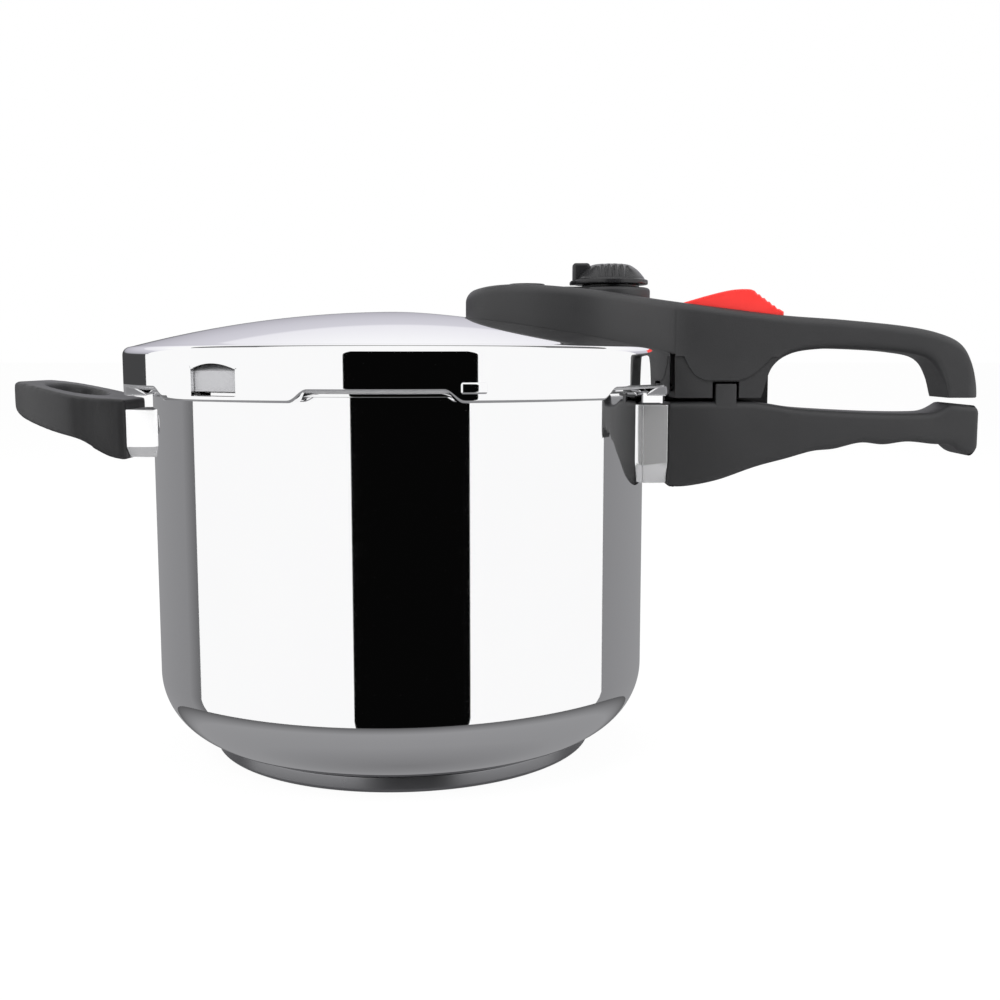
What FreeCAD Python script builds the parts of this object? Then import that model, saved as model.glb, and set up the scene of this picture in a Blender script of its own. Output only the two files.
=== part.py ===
import FreeCAD, Part
import math
import os

V = FreeCAD.Vector
Z_AXIS = V(0, 0, 1)

# Stovetop pressure cooker, 22 cm, about 6 litres. Millimetres, +Z up.
# Origin: centre of the base's underside. +X points along the long handle.

# ---- pot -------------------------------------------------------------------
pot_radius = 111.0
pot_wall = 1.0
pot_corner_radius = 30.0
base_radius = 87.1
base_height = 6.7
base_cap_wall = 0.8
core_gap = 0.1
rim_z = 163.6
flange_thickness = 2.0
flange_bead = 1.6
lug_radius = 118.0
lug_half_angle = 10.5

# ---- lid -------------------------------------------------------------------
tooth_count = 6
lid_wall = 1.5
lid_radius = 123.1
lid_fillet = 3.6
dome_rise = 15.9
shoulder_height = 15.8
tooth_reach = 8.1
tooth_gap = 0.4
notch_height = 4.7
notch_flat_half_angle = 11.8
notch_half_angle = 15.3
window_angle = 239.1
window_half_angle = 5.3
window_height = 14.5
stop_angle = 287.0
seat_start = (-5.0, 198.2)
seat_middle = (60.0, 189.3)
seat_end = (124.0, 177.6)

# ---- gasket ----------------------------------------------------------------
gasket_clearance = 0.3
gasket_inner_radius = 106.5
gasket_lip = 3.0
gasket_web = 5.0

# ---- handles ---------------------------------------------------------------
handle_half_width = 13.0
handle_round = 3.6
handle_gap = 1.7
handle_parting_z = 158.2
leg_clearance = 1.3
seat_clearance = 0.3
head_tip_x = 29.7
head_wide_x = 78.0
head_half_width = 34.0
head_end_x = 132.0
head_round = 4.0
shell_wall = 2.8
cover_thickness = 2.2
fit_gap = 0.2
panel_step = 0.7
grip_end_x = 262.5
guard_length = 10.4
guard_wall = 1.0
guard_half_width = 14.0
guard_top_z = 155.1
guard_bottom_z = 119.2
guard_bend_z = 129.0
helper_guard_length = 12.4
helper_guard_half_width = 16.0
helper_guard_top_z = 153.0
helper_guard_bottom_z = 131.2
helper_guard_bend_z = 136.0
helper_tip_x = -176.4
helper_wide_x = -143.0
helper_half_width = 35.0
helper_hole_x = -150.0
helper_hole_reach = 12.5
helper_hole_half_width = 20.0
screw_radius = 2.5
screw_head_radius = 4.4
tab_x0 = 143.2
tab_x1 = 152.5
tab_top_z = 164.5
tab_gap = 1.2

# ---- working valve and selector ---------------------------------------------
valve_x = 96.0
valve_pad_z = 181.0
valve_pad_radius = 10.8
valve_thread_radius = 5.4
valve_hole_gap = 0.1
valve_flange_radius = 9.5
valve_tube_radius = 7.2
valve_chamber_radius = 4.2
valve_inlet_radius = 1.5
knob_radius = 17.0
knob_base_z = 209.4
knob_top_z = 219.3
knob_rim_height = 2.6
collar_radius = 13.0
platform_z = 207.9
platform_radius = 18.0
selector_bore_radius = 8.0
running_gap = 0.08

# ---- pressure indicator ------------------------------------------------------
indicator_x = 57.7
indicator_pad_z = 188.0
indicator_pad_radius = 6.8
indicator_hole_radius = 3.6
indicator_pin_radius = 2.2
indicator_travel = 4.0
indicator_cover_radius = 8.2

# ---- safety valve ------------------------------------------------------------
safety_x = 74.0
safety_y = 19.0
safety_pad_z = 185.2
safety_pad_radius = 8.2
safety_thread_radius = 4.4
safety_tube_radius = 5.8
safety_bore_radius = 3.4

# ---- handle bolt -------------------------------------------------------------
bolt_x = 43.6
bolt_pad_z = 190.2
bolt_pad_radius = 6.2
insert_radius = 3.8
boss_radius = 5.6
cover_screw_places = ((56.0, 21.0), (56.0, -21.0), (104.0, 14.5), (104.0, -14.5))
cover_screw_radius = 1.4
post_radius = 3.4

# ---- lock --------------------------------------------------------------------
lock_travel = 7.0
bolt_tip_radius = 119.6
bolt_half_width = 3.0
bolt_thickness = 1.5
bolt_bottom_z = 161.8
lock_notch_radius = 111.8
slider_x0 = 127.8
slider_x1 = 174.0
slider_half_width = 8.6
slider_floor_z = 194.0
slider_gap = 0.4
stem_x = 140.6
slider_screw_offset = 2.2
hollow_end_radius = 118.0

# ---- values that follow ------------------------------------------------------
lug_bottom_z = rim_z - flange_thickness
skirt_bottom_z = lug_bottom_z - tooth_gap - lid_wall
dome_edge_z = skirt_bottom_z + shoulder_height + lid_fillet + 1.9
dome_top_z = dome_edge_z + dome_rise
dome_edge_radius = lid_radius - lid_fillet
skirt_inner_radius = lid_radius - lid_wall
lock_hole_half_width = bolt_half_width + 0.6
lower_top_z = handle_parting_z - handle_gap
leg_x = lid_radius + leg_clearance


def vec(x, z, y=0.0):
    return V(x, y, z)


def path(start, steps, y=0.0):
    """A closed wire in XZ: a step is a point, (mid, end) of an arc, or a list for a smooth curve."""
    edges = []
    here = vec(*start, y)
    for step in steps + [start]:
        if isinstance(step, list):
            curve = Part.BSplineCurve()
            curve.interpolate([here] + [vec(*point, y) for point in step])
            end = vec(*step[-1], y)
            edges.append(curve.toShape())
        elif isinstance(step[0], tuple):
            mid = vec(*step[0], y)
            end = vec(*step[1], y)
            edges.append(Part.Arc(here, mid, end).toShape())
        else:
            end = vec(*step, y)
            if here.distanceToPoint(end) > 1e-6:
                edges.append(Part.LineSegment(here, end).toShape())
        here = end
    return Part.Wire(edges)


def spun(start, steps):
    face = Part.Face(path(start, steps))
    return face.revolve(V(0, 0, 0), Z_AXIS, 360)


def slab(start, steps, half_width, y_mid=0.0):
    """The XZ outline extruded across the handles, along Y."""
    face = Part.Face(path(start, steps, y_mid - half_width))
    return face.extrude(V(0, 2 * half_width, 0))


def block(x0, x1, y0, y1, z0, z1):
    return Part.makeBox(x1 - x0, y1 - y0, z1 - z0, V(x0, y0, z0))


def rod(x, y, z0, z1, radius):
    return Part.makeCylinder(radius, z1 - z0, V(x, y, z0))


def tube(x, y, z0, z1, outer, inner):
    return rod(x, y, z0, z1, outer).cut(rod(x, y, z0 - 1, z1 + 1, inner))


def hexagon(x, y, z0, z1, across_flats):
    corner = across_flats / math.sqrt(3)
    points = []
    for i in range(7):
        angle = math.radians(60 * i)
        points.append(V(x + corner * math.cos(angle), y + corner * math.sin(angle), z0))
    return Part.Face(Part.makePolygon(points)).extrude(V(0, 0, z1 - z0))


def sector(angle, half_angle, inner, outer, z0, z1):
    ring = Part.makeCylinder(outer, z1 - z0, V(0, 0, z0), Z_AXIS, 2 * half_angle)
    ring = ring.cut(rod(0, 0, z0 - 1, z1 + 1, inner))
    ring.rotate(V(0, 0, 0), Z_AXIS, angle - half_angle)
    return ring


def joined(shapes):
    whole = shapes[0].fuse(shapes[1:])
    return whole.removeSplitter()


def without(shape, tools):
    for tool in tools:
        shape = shape.cut(tool)
    return shape


def rounded(shape, radius, wanted):
    edges = [edge for edge in shape.Edges if wanted(edge)]
    return shape.makeFillet(radius, edges)


def save(name, shape):
    solids = shape.Solids
    if len(solids) == 1:
        shape = solids[0]
    if not shape.isValid() or not solids:
        raise ValueError(name + " is not a sound solid")
    shape.exportStep("parts/" + name + ".step")
    print(name, len(solids), round(shape.Volume / 1000, 2), "cm3")


def coil(x, y, z0, z1, radius, wire, turns):
    """A spring's wire along a helix, its ends just inside z0 and z1."""
    height = z1 - z0 - wire
    helix = Part.makeHelix(height / turns, height, radius)
    profile = Part.Wire(Part.Circle(V(radius, 0, 0), V(0, 1, 0), wire / 2).toShape())
    spring = Part.Wire(helix).makePipeShell([profile], True, True)
    spring.translate(V(x, y, z0 + wire / 2))
    return spring


# ---- pot ---------------------------------------------------------------------
def pot_section(radius, bottom_z, corner):
    flat = radius - corner
    mid = (flat + corner * math.sin(math.pi / 4), bottom_z + corner * (1 - math.cos(math.pi / 4)))
    return (flat, bottom_z), (mid, (radius, bottom_z + corner))


def lock_notch():
    return block(lock_notch_radius, lug_radius + 5, -lock_hole_half_width, lock_hole_half_width,
                 lug_bottom_z - 1, rim_z + 1)


def pot_body():
    flat, corner = pot_section(pot_radius, base_height, pot_corner_radius)
    outer = spun((0, base_height), [flat, corner, (pot_radius, rim_z), (0, rim_z)])
    flat, corner = pot_section(pot_radius - pot_wall, base_height + pot_wall, pot_corner_radius - pot_wall)
    inner = spun((0, base_height + pot_wall), [flat, corner, (pot_radius - pot_wall, rim_z + 1), (0, rim_z + 1)])
    pieces = [outer, rod(0, 0, lug_bottom_z, rim_z, pot_radius + flange_bead)]
    for i in range(tooth_count):
        pieces.append(sector(60 * i, lug_half_angle, pot_radius - 0.5, lug_radius, lug_bottom_z, rim_z))
    return joined(pieces).cut(inner).cut(lock_notch())


def base_core():
    return rod(0, 0, base_cap_wall, base_height, base_radius - base_cap_wall - core_gap)


def base_cap():
    cup = rod(0, 0, 0, base_height, base_radius)
    cup = rounded(cup, 0.7, lambda edge: edge.BoundBox.ZMax < 0.01)
    return cup.cut(rod(0, 0, base_cap_wall, base_height + 1, base_radius - base_cap_wall))


# ---- guards, brackets and the handles of the pot --------------------------------
def guard_outline(x, half_width, top, bottom, bend, inset):
    narrow = half_width * 0.66
    points = [(-half_width, top), (-half_width, bend), (-narrow, bottom),
              (narrow, bottom), (half_width, bend), (half_width, top)]
    corners = []
    for y, z in points:
        shift = inset if z < top else -1.0
        corners.append(V(x, y - math.copysign(inset, y), z + (shift if z == bottom else 0)))
    if inset:
        corners[0].z = top + 1
        corners[-1].z = top + 1
        corners[0].z = corners[-1].z = top - inset
    return Part.Face(Part.makePolygon(corners + [corners[0]]))


def guard(direction, length, half_width, top, bottom, bend):
    """A bent sleeve between the pot's wall and a handle."""
    start = pot_radius - 4.0
    reach = pot_radius + length - start
    outer = guard_outline(start, half_width, top, bottom, bend, 0.0).extrude(V(reach, 0, 0))
    inner = guard_outline(start - 1, half_width, top, bottom, bend, guard_wall).extrude(V(reach + 2, 0, 0))
    sleeve = outer.cut(inner).cut(rod(0, 0, 0, 200, pot_radius + 0.05))
    if direction < 0:
        sleeve.rotate(V(0, 0, 0), Z_AXIS, 180)
    return sleeve


def long_handle_guard():
    return guard(1, guard_length, guard_half_width, guard_top_z, guard_bottom_z, guard_bend_z)


def helper_guard():
    return guard(-1, helper_guard_length, helper_guard_half_width, helper_guard_top_z,
                 helper_guard_bottom_z, helper_guard_bend_z)


def weld_plate(angle, half_angle, z0, z1):
    return sector(angle, half_angle, pot_radius, pot_radius + 1.5, z0, z1)


tongue_z0 = 137.0
tongue_z1 = 141.0
tongue_half_width = 6.0
tongue_end_x = 146.0
pot_screw_x = 136.0


def long_handle_bracket():
    plate = weld_plate(0, 6.0, 130.0, 151.0)
    tongue = block(pot_radius + 0.8, tongue_end_x, -tongue_half_width, tongue_half_width, tongue_z0, tongue_z1)
    return joined([plate, tongue]).cut(rod(pot_screw_x, 0, 130, 145, screw_radius))


def pot_handle_outline():
    """Sides of the lower grip: its top line, then the finger waves underneath."""
    start = (pot_radius + guard_length + fit_gap, lower_top_z)
    steps = [(161.0, lower_top_z), [(171.5, 154.9), (184.0, 153.2), (214.0, 151.6), (236.0, 151.3),
                                    (244.0, 152.2), (250.6, 155.8)],
             (grip_end_x, 154.6), (grip_end_x, 133.4),
             [(259.4, 131.9), (255.6, 133.2), (251.0, 136.6), (243.0, 137.1), (231.5, 138.2), (220.5, 136.9),
              (210.0, 137.7), (198.0, 134.9), (188.0, 133.8), (176.0, 130.4), (162.0, 126.6), (145.0, 120.6),
              (131.0, 117.8), (start[0], guard_bottom_z - 1.6)]]
    return start, steps


def tab():
    return block(tab_x0, tab_x1, -handle_half_width + 0.4, -fit_gap, lower_top_z - 4.0, tab_top_z)


def along_sides(half_width):
    """Picks the edges that run along both side faces of a slab."""
    def wanted(edge):
        box = edge.BoundBox
        return box.YLength < 0.01 and abs(abs(box.YMin) - half_width) < 0.01 and box.XLength > 4.0
    return wanted


def pot_handle():
    body = slab(*pot_handle_outline(), handle_half_width)
    body = rounded(body, handle_round, along_sides(handle_half_width))
    body = joined([body, tab()])
    slot = block(100, tongue_end_x + fit_gap, -tongue_half_width - fit_gap, tongue_half_width + fit_gap,
                 tongue_z0 - fit_gap, tongue_z1 + fit_gap)
    return without(body, [slot, rod(pot_screw_x, 0, 100, tongue_z1 + 5, screw_radius + 0.1),
                          rod(pot_screw_x, 0, 100, 124.0, screw_head_radius + 0.3)])


def pot_handle_screw():
    head = rod(pot_screw_x, 0, 120.6, 124.0, screw_head_radius)
    screw = joined([head, rod(pot_screw_x, 0, 123.0, tongue_z1 + 3, screw_radius)])
    return screw.cut(block(pot_screw_x - 5, pot_screw_x + 5, -0.6, 0.6, 120.0, 121.8))


helper_screw_z = 145.0
helper_face_x = -(pot_radius + helper_guard_length + fit_gap)
helper_boss_end_x = -122.0


def helper_bracket():
    plate = weld_plate(180, 6.5, 136.5, 151.0)
    start = -pot_radius - 0.8
    boss = Part.makeCylinder(5.0, start - helper_boss_end_x, V(start, 0, helper_screw_z), V(-1, 0, 0))
    bore = Part.makeCylinder(screw_radius, 8.0, V(helper_boss_end_x - 1, 0, helper_screw_z), V(1, 0, 0))
    return joined([plate, boss]).cut(bore)


def ear_plan(face_x):
    """The helper handle's outline in plan: half an ellipse drawn in to a neck."""
    neck = helper_guard_half_width + 0.5
    reach = helper_wide_x - helper_tip_x
    centre = V(helper_wide_x, 0, 0)
    ellipse = Part.Ellipse(V(helper_wide_x, helper_half_width, 0), V(helper_tip_x, 0, 0), centre)
    nose = Part.Arc(ellipse, 0, math.pi).toShape() if helper_half_width > reach else None
    points = [V(helper_wide_x, helper_half_width, 0), V(helper_wide_x + 12, helper_half_width, 0),
              V(face_x - 8, neck, 0), V(face_x, neck, 0)]
    side = Part.BezierCurve()
    side.setPoles(points)
    other = Part.BezierCurve()
    other.setPoles([V(p.x, -p.y, 0) for p in reversed(points)])
    end = Part.LineSegment(points[-1], V(face_x, -neck, 0)).toShape()
    return Part.Wire(Part.__sortEdges__([nose, side.toShape(), end, other.toShape()]))


def helper_outline(face_x):
    return (face_x, 157.6), [[(-136.0, 159.2), (-152.0, 162.6), (-166.0, 165.4), (-173.6, 165.0),
                              (helper_tip_x - 2, 158.6), (-172.4, 152.4), (-160.0, 147.4), (-146.0, 143.0),
                              (-137.0, 139.4), (-131.4, 133.2), (face_x, 130.4)]]


def helper_handle():
    plan = Part.Face(ear_plan(helper_face_x))
    plan.translate(V(0, 0, 100))
    body = slab(*helper_outline(helper_face_x), 50).common(plan.extrude(V(0, 0, 100)))
    hole = Part.Ellipse(V(helper_hole_x, helper_hole_half_width, 0), V(helper_hole_x - helper_hole_reach, 0, 0),
                        V(helper_hole_x, 0, 0)).toShape()
    opening = Part.Face(Part.Wire(hole))
    opening.translate(V(0, 0, 100))
    body = body.cut(opening.extrude(V(0, 0, 100)))
    shank = Part.makeCylinder(screw_radius + 0.1, 40, V(helper_face_x - 20, 0, helper_screw_z), V(1, 0, 0))
    head = Part.makeCylinder(screw_head_radius + 0.3, 12, V(helper_hole_x, 0, helper_screw_z), V(1, 0, 0))
    head.translate(V(helper_hole_reach - 10, 0, 0))
    recess = Part.makeCylinder(5.4, 1 + helper_face_x - helper_boss_end_x + 2,
                               V(helper_boss_end_x - 2.2, 0, helper_screw_z), V(1, 0, 0))
    return without(body, [shank, head, recess])


def helper_screw():
    seat_x = helper_hole_x + helper_hole_reach + 2.0
    head = Part.makeCylinder(screw_head_radius, 3.0, V(seat_x - 3.0, 0, helper_screw_z), V(1, 0, 0))
    shank = Part.makeCylinder(screw_radius, helper_boss_end_x + 5 - seat_x, V(seat_x, 0, helper_screw_z), V(1, 0, 0))
    slot = block(seat_x - 4, seat_x - 1.8, -0.6, 0.6, helper_screw_z - 6, helper_screw_z + 6)
    return joined([head, shank]).cut(slot)


# ---- lid ---------------------------------------------------------------------
def dome(drop, radius, bottom_z):
    """The space under the dome's sheet, drawn in by the sheet's thickness."""
    fillet = lid_fillet - drop if lid_fillet > drop else 0.2
    edge_radius = radius - fillet
    rise = dome_rise
    sphere = (dome_edge_radius ** 2 + rise ** 2) / (2 * rise)
    centre_z = dome_top_z - sphere
    ball = sphere - drop
    mid_r = edge_radius / 2
    edge_z = centre_z + math.sqrt(ball ** 2 - edge_radius ** 2)
    mid = (mid_r, centre_z + math.sqrt(ball ** 2 - mid_r ** 2))
    turn = fillet * (1 - math.sqrt(0.5))
    round_mid = (radius - turn, edge_z - turn)
    return spun((0, bottom_z), [(radius, bottom_z), (radius, edge_z - fillet), (round_mid, (edge_radius, edge_z)),
                                (mid, (0, centre_z + ball))])


def seat_cut(drop):
    """Everything above the flat seat that is stamped for the handle."""
    start, middle, end = [(x, z - drop) for x, z in (seat_start, seat_middle, seat_end)]
    return slab(start, [(middle, end), (140, end[1] - 3), (140, 230), (start[0], 230)], 140)


def seat_pads(drop):
    """The level places in the seat, one for each thing that passes through."""
    grow = drop
    pads = []
    for x, y, z, radius in ((valve_x, 0, valve_pad_z, valve_pad_radius),
                            (indicator_x, 0, indicator_pad_z, indicator_pad_radius),
                            (safety_x, safety_y, safety_pad_z, safety_pad_radius),
                            (bolt_x, 0, bolt_pad_z, bolt_pad_radius)):
        pads.append(rod(x, y, z - drop, 230, radius + grow))
    return pads


def edge_notch(angle):
    """One raised stretch of the skirt's lower edge, open to the pot's lugs."""
    z0 = skirt_bottom_z
    z1 = skirt_bottom_z + notch_height
    flat = sector(angle, notch_flat_half_angle, 100, lid_radius + 2, z0 - 1, z1)
    ramps = []
    lean = notch_half_angle - notch_flat_half_angle
    for i in range(3):
        z = z0 - 1 + (notch_height + 1) * (i + 1) / 4
        ramps.append(sector(angle, notch_half_angle - lean * (i + 0.5) / 4 * 1.3, 100, lid_radius + 2, z0 - 1, z))
    return joined([flat] + ramps)


def lid_shell():
    outer = without(dome(0.0, lid_radius, skirt_bottom_z), [seat_cut(0.0)] + seat_pads(0.0))
    inner = without(dome(lid_wall, skirt_inner_radius, skirt_bottom_z + lid_wall),
                    [seat_cut(lid_wall)] + seat_pads(lid_wall))
    mouth = rod(0, 0, skirt_bottom_z - 1, skirt_bottom_z + lid_wall + 1, skirt_inner_radius - tooth_reach)
    shell = outer.cut(inner).cut(mouth)
    notches = [edge_notch(30 + 60 * i) for i in range(tooth_count)]
    window = sector(window_angle, window_half_angle, 115, lid_radius + 2, skirt_bottom_z + lid_wall + 0.6,
                    skirt_bottom_z + window_height)
    lock_hole = block(118, 126, -lock_hole_half_width, lock_hole_half_width, bolt_bottom_z - 0.4,
                      bolt_bottom_z + bolt_thickness + 0.4)
    holes = [rod(valve_x, 0, 170, 190, valve_thread_radius + valve_hole_gap),
             rod(indicator_x, 0, 170, 195, indicator_hole_radius),
             rod(safety_x, safety_y, 170, 195, safety_thread_radius + valve_hole_gap),
             rod(bolt_x, 0, 170, 199, screw_radius + 0.2)]
    shell = without(shell, notches + [window, lock_hole] + holes)
    stop = sector(stop_angle, 2.4, lid_radius - 0.7, lid_radius + 0.9, skirt_bottom_z + 3.4, skirt_bottom_z + 7.6)
    return joined([shell, stop])


def lid_gasket():
    outer = skirt_inner_radius - gasket_clearance
    top = dome_edge_z - lid_wall - gasket_clearance
    inner = gasket_inner_radius
    seat_drop = 3.2
    low = rim_z
    return spun((inner, low), [(outer, low), (outer, top - 4.6 - seat_drop), (outer - 3.4, top - 1.6 - seat_drop),
                               (inner, top - seat_drop), (inner, top - seat_drop - gasket_lip),
                               (outer - gasket_web, top - seat_drop - gasket_lip - 1.0),
                               (outer - gasket_web, low + gasket_lip + 0.6), (inner, low + gasket_lip)])


# ---- the lid's handle ----------------------------------------------------------
def head_plan(inset):
    """The upper handle in plan: a spoon that narrows to the grip."""
    wide = head_half_width - inset
    narrow = handle_half_width - inset
    tip = head_tip_x + inset
    ellipse_centre = V(head_wide_x, 0, 0)
    long_point = V(tip, 0, 0)
    side_point = V(head_wide_x, wide, 0)
    nose = Part.Arc(Part.Ellipse(long_point, side_point, ellipse_centre), -math.pi / 2, math.pi / 2).toShape()
    end_x = grip_end_x - inset
    corner = 5.0
    points = [V(head_wide_x, wide, 0), V(104, wide, 0), V(106, narrow, 0), V(head_end_x, narrow, 0)]
    side = Part.BezierCurve()
    side.setPoles(points)
    other = Part.BezierCurve()
    other.setPoles([V(p.x, -p.y, 0) for p in reversed(points)])
    turn = corner * (1 - math.sqrt(0.5))
    edges = [nose, side.toShape(), other.toShape()]
    for sign in (1, -1):
        edges.append(Part.LineSegment(V(head_end_x, sign * narrow, 0), V(end_x - corner, sign * narrow, 0)).toShape())
        edges.append(Part.Arc(V(end_x - corner, sign * narrow, 0), V(end_x - turn, sign * (narrow - turn), 0),
                              V(end_x, sign * (narrow - corner), 0)).toShape())
    edges.append(Part.LineSegment(V(end_x, narrow - corner, 0), V(end_x, corner - narrow, 0)).toShape())
    return Part.Wire(Part.__sortEdges__(edges))


def head_prism(inset):
    plan = Part.Face(head_plan(inset))
    plan.translate(V(0, 0, 150))
    return plan.extrude(V(0, 0, 80))


def seat_height(x):
    """The stamped seat's height along the handle."""
    circle = Part.Circle(vec(*seat_start), vec(*seat_middle), vec(*seat_end))
    centre = circle.Center
    return centre.z + math.sqrt(circle.Radius ** 2 - (x - centre.x) ** 2)


def seat_line(lift):
    """Three points of the seat's arc under the handle, from the skirt to the tip."""
    return [(x, seat_height(x) + lift) for x in (leg_x, 76.0, 24.0)]


def upper_outline():
    right, middle, left = seat_line(seat_clearance)
    start = (leg_x, right[1])
    steps = [(middle, left), [(24.2, 198.4), (28.4, 204.6), (38.0, 207.6), (54.0, 208.3), (76.0, 206.7),
                              (114.0, 202.7), (150.0, 198.2), (174.0, 195.3), (200.0, 193.4), (228.0, 190.6),
                              (244.0, 187.4), (254.0, 182.6), (259.0, 174.4), (grip_end_x, 163.0)],
             (grip_end_x, handle_parting_z), (248.6, handle_parting_z),
             [(245.6, 167.4), (239.0, 175.8), (226.0, 178.8), (206.0, 180.2), (190.0, 180.2), (177.0, 178.0),
              (168.6, 171.6), (163.6, handle_parting_z)],
             (leg_x, handle_parting_z)]
    return start, steps


def inside_outline():
    """The head's hollow, open below, from the skirt side to the tip."""
    back = hollow_end_radius
    return (back, 150), [(24.0, 150), (24.0, 202.0), ((33.0, 203.4), (44.0, 204.6)), ((62.0, 203.9), (back, 198.2))]


def platform():
    """The raised pad that carries the selector."""
    z0 = 201.0
    front = rod(indicator_x + 4, 0, z0, platform_z, platform_radius - 4)
    back = rod(valve_x, 0, z0, platform_z, platform_radius)
    bridge = block(indicator_x + 4, valve_x, 4 - platform_radius, platform_radius - 4, z0, platform_z)
    pad = joined([front, back, bridge])
    return rounded(pad, 1.6, lambda e: e.BoundBox.ZMin > platform_z - 0.01)


def lower_panel(half_width):
    """The stretch of the leg below the curved line on its sides."""
    return slab((leg_x - 1, 150), [(leg_x - 1, 177.0), (128.5, 177.0), ((131.8, 171.0), (138.4, 166.2)),
                                   (153.0, 166.2), ((161.0, 169.4), (168.0, 176.6)), (172.0, 176.6), (172.0, 150)],
                half_width)


def side_panels():
    whole = lower_panel(40)
    return whole.cut(block(90, 200, panel_step - handle_half_width, handle_half_width - panel_step, 140, 200))


def on_plan(shape_edge):
    """True for the long edges where the top meets the side walls."""
    box = shape_edge.BoundBox
    if box.XLength < 1.0 and box.YLength < 1.0:
        return False
    if box.XLength < 0.01:
        return False
    if box.YLength > 2 * handle_half_width - 11 and box.XLength < 0.5:
        return False
    return True


def upper_body():
    body = slab(*upper_outline(), 60).common(head_prism(0.0))
    body = body.cut(rod(0, 0, 140, seat_height(leg_x) + seat_clearance, leg_x))
    seam_z = seat_height(leg_x) + seat_clearance

    def wanted(edge):
        box = edge.BoundBox
        mid = edge.valueAt((edge.FirstParameter + edge.LastParameter) / 2)
        if not on_plan(edge):
            return False
        if abs(mid.y) < 9.0 and mid.x > 60:
            return False
        if mid.x < leg_x and mid.z < seat_height(mid.x) + 2.0:
            return False
        if mid.z < handle_parting_z + 1.0 and mid.x < 200:
            return False
        return box.ZMin > seam_z or mid.x > 176.0
    return rounded(body, head_round, wanted)


def post_bottom(x):
    return seat_height(x - post_radius) + seat_clearance + cover_thickness + fit_gap


def handle_hollow():
    """Space for the valves, less the posts and the boss that the screws go into."""
    hollow = slab(*inside_outline(), 60).common(head_prism(shell_wall))
    posts = [rod(x, y, post_bottom(x), 230, post_radius) for x, y in cover_screw_places]
    posts.append(rod(bolt_x, 0, bolt_pad_z + fit_gap, 230, boss_radius))
    return without(hollow, posts)


def handle_shell():
    body = joined([upper_body(), platform()])
    body = body.cut(side_panels())
    pocket = block(slider_x0 - lock_travel - 0.6, slider_x1 + 3.0, -slider_half_width - slider_gap,
                   slider_half_width + slider_gap, slider_floor_z, 230)
    side = bolt_half_width + 0.5
    stroke = lock_travel + 1.0
    channel = block(leg_x - 8, stem_x + 0.6, -side, side, bolt_bottom_z - 0.8, bolt_bottom_z + bolt_thickness + 0.8)
    shaft = block(stem_x - 3.0 - stroke, stem_x + 0.6, -side, side, bolt_bottom_z - 0.8, slider_floor_z + 1)
    landing = block(stem_x - 3.0 - stroke, stem_x + 5.0, -side, side, slider_floor_z - 5.0, slider_floor_z + 1)
    tab_notch = block(tab_x0 - tab_gap - 0.4, tab_x1 + tab_gap, -30, 0.0, 150, tab_top_z + 1.1)
    holes = [rod(valve_x, 0, 190, 230, selector_bore_radius), rod(indicator_x, 0, 190, 230, 6.0),
             rod(bolt_x, 0, 150, 202.4, insert_radius)]
    for x, y in cover_screw_places:
        holes.append(rod(x, y, 150, seat_height(x) + 10.5, cover_screw_radius))
    return without(body, [handle_hollow(), pocket, channel, shaft, landing, tab_notch] + holes)


def handle_bottom_cover():
    low = seat_line(seat_clearance)
    high = seat_line(seat_clearance + cover_thickness)
    plate = slab(low[0], [(low[1], low[2]), high[2], (high[1], high[0])], 60)
    plate = plate.common(head_prism(shell_wall + fit_gap)).common(rod(0, 0, 150, 230, hollow_end_radius - fit_gap))
    holes = [rod(valve_x, 0, 150, 230, valve_pad_radius + 0.2), rod(indicator_x, 0, 150, 230, indicator_pad_radius),
             rod(safety_x, safety_y, 150, 230, safety_pad_radius + 0.2), rod(bolt_x, 0, 150, 230, boss_radius + fit_gap)]
    for x, y in cover_screw_places:
        z = seat_height(x) + seat_clearance
        holes.append(rod(x, y, 150, 230, cover_screw_radius + 0.1))
        holes.append(rod(x, y, 150, z + 1.3, cover_screw_radius + 1.2))
    return without(plate, holes)


def cover_screws():
    screws = []
    for x, y in cover_screw_places:
        z = seat_height(x) + seat_clearance
        head = rod(x, y, z + 0.3, z + 1.3, cover_screw_radius + 1.0)
        screws.append(joined([head, rod(x, y, z + 1.0, z + 9.0, cover_screw_radius)]))
    return Part.makeCompound(screws)


def handle_insert():
    return tube(bolt_x, 0, bolt_pad_z + 1.4, 202.4, insert_radius, screw_radius)


def handle_bolt():
    top = bolt_pad_z - lid_wall - 1.2
    head = rod(bolt_x, 0, top - 3.2, top, screw_head_radius)
    bolt = joined([head, rod(bolt_x, 0, top - 1, 200.0, screw_radius)])
    return bolt.cut(hexagon(bolt_x, 0, top - 4, top - 1.6, 3.0))


def handle_bolt_washer():
    top = bolt_pad_z - lid_wall
    return tube(bolt_x, 0, top - 1.2, top, screw_head_radius + 0.8, screw_radius + 0.1)


# ---- working valve ------------------------------------------------------------
seat_of_needle_z = valve_pad_z + 3.6
stem_bottom_z = 198.0
spring_seat_z = seat_of_needle_z + 5.2
cap_bottom_z = 165.8
valve_thread_end_z = 169.0


def valve_body():
    flange_z = valve_pad_z + 1.0
    pieces = [rod(valve_x, 0, valve_thread_end_z, flange_z + 1, valve_thread_radius),
              rod(valve_x, 0, flange_z, flange_z + 2.4, valve_flange_radius),
              rod(valve_x, 0, flange_z + 1, 202.6, valve_tube_radius)]
    body = joined(pieces)
    vent = Part.makeCylinder(1.2, 12, V(valve_x, 0, 193.5), V(0, 1, 0))
    return without(body, [rod(valve_x, 0, 160, 190, valve_inlet_radius),
                          rod(valve_x, 0, seat_of_needle_z, 210, valve_chamber_radius), vent])


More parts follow.
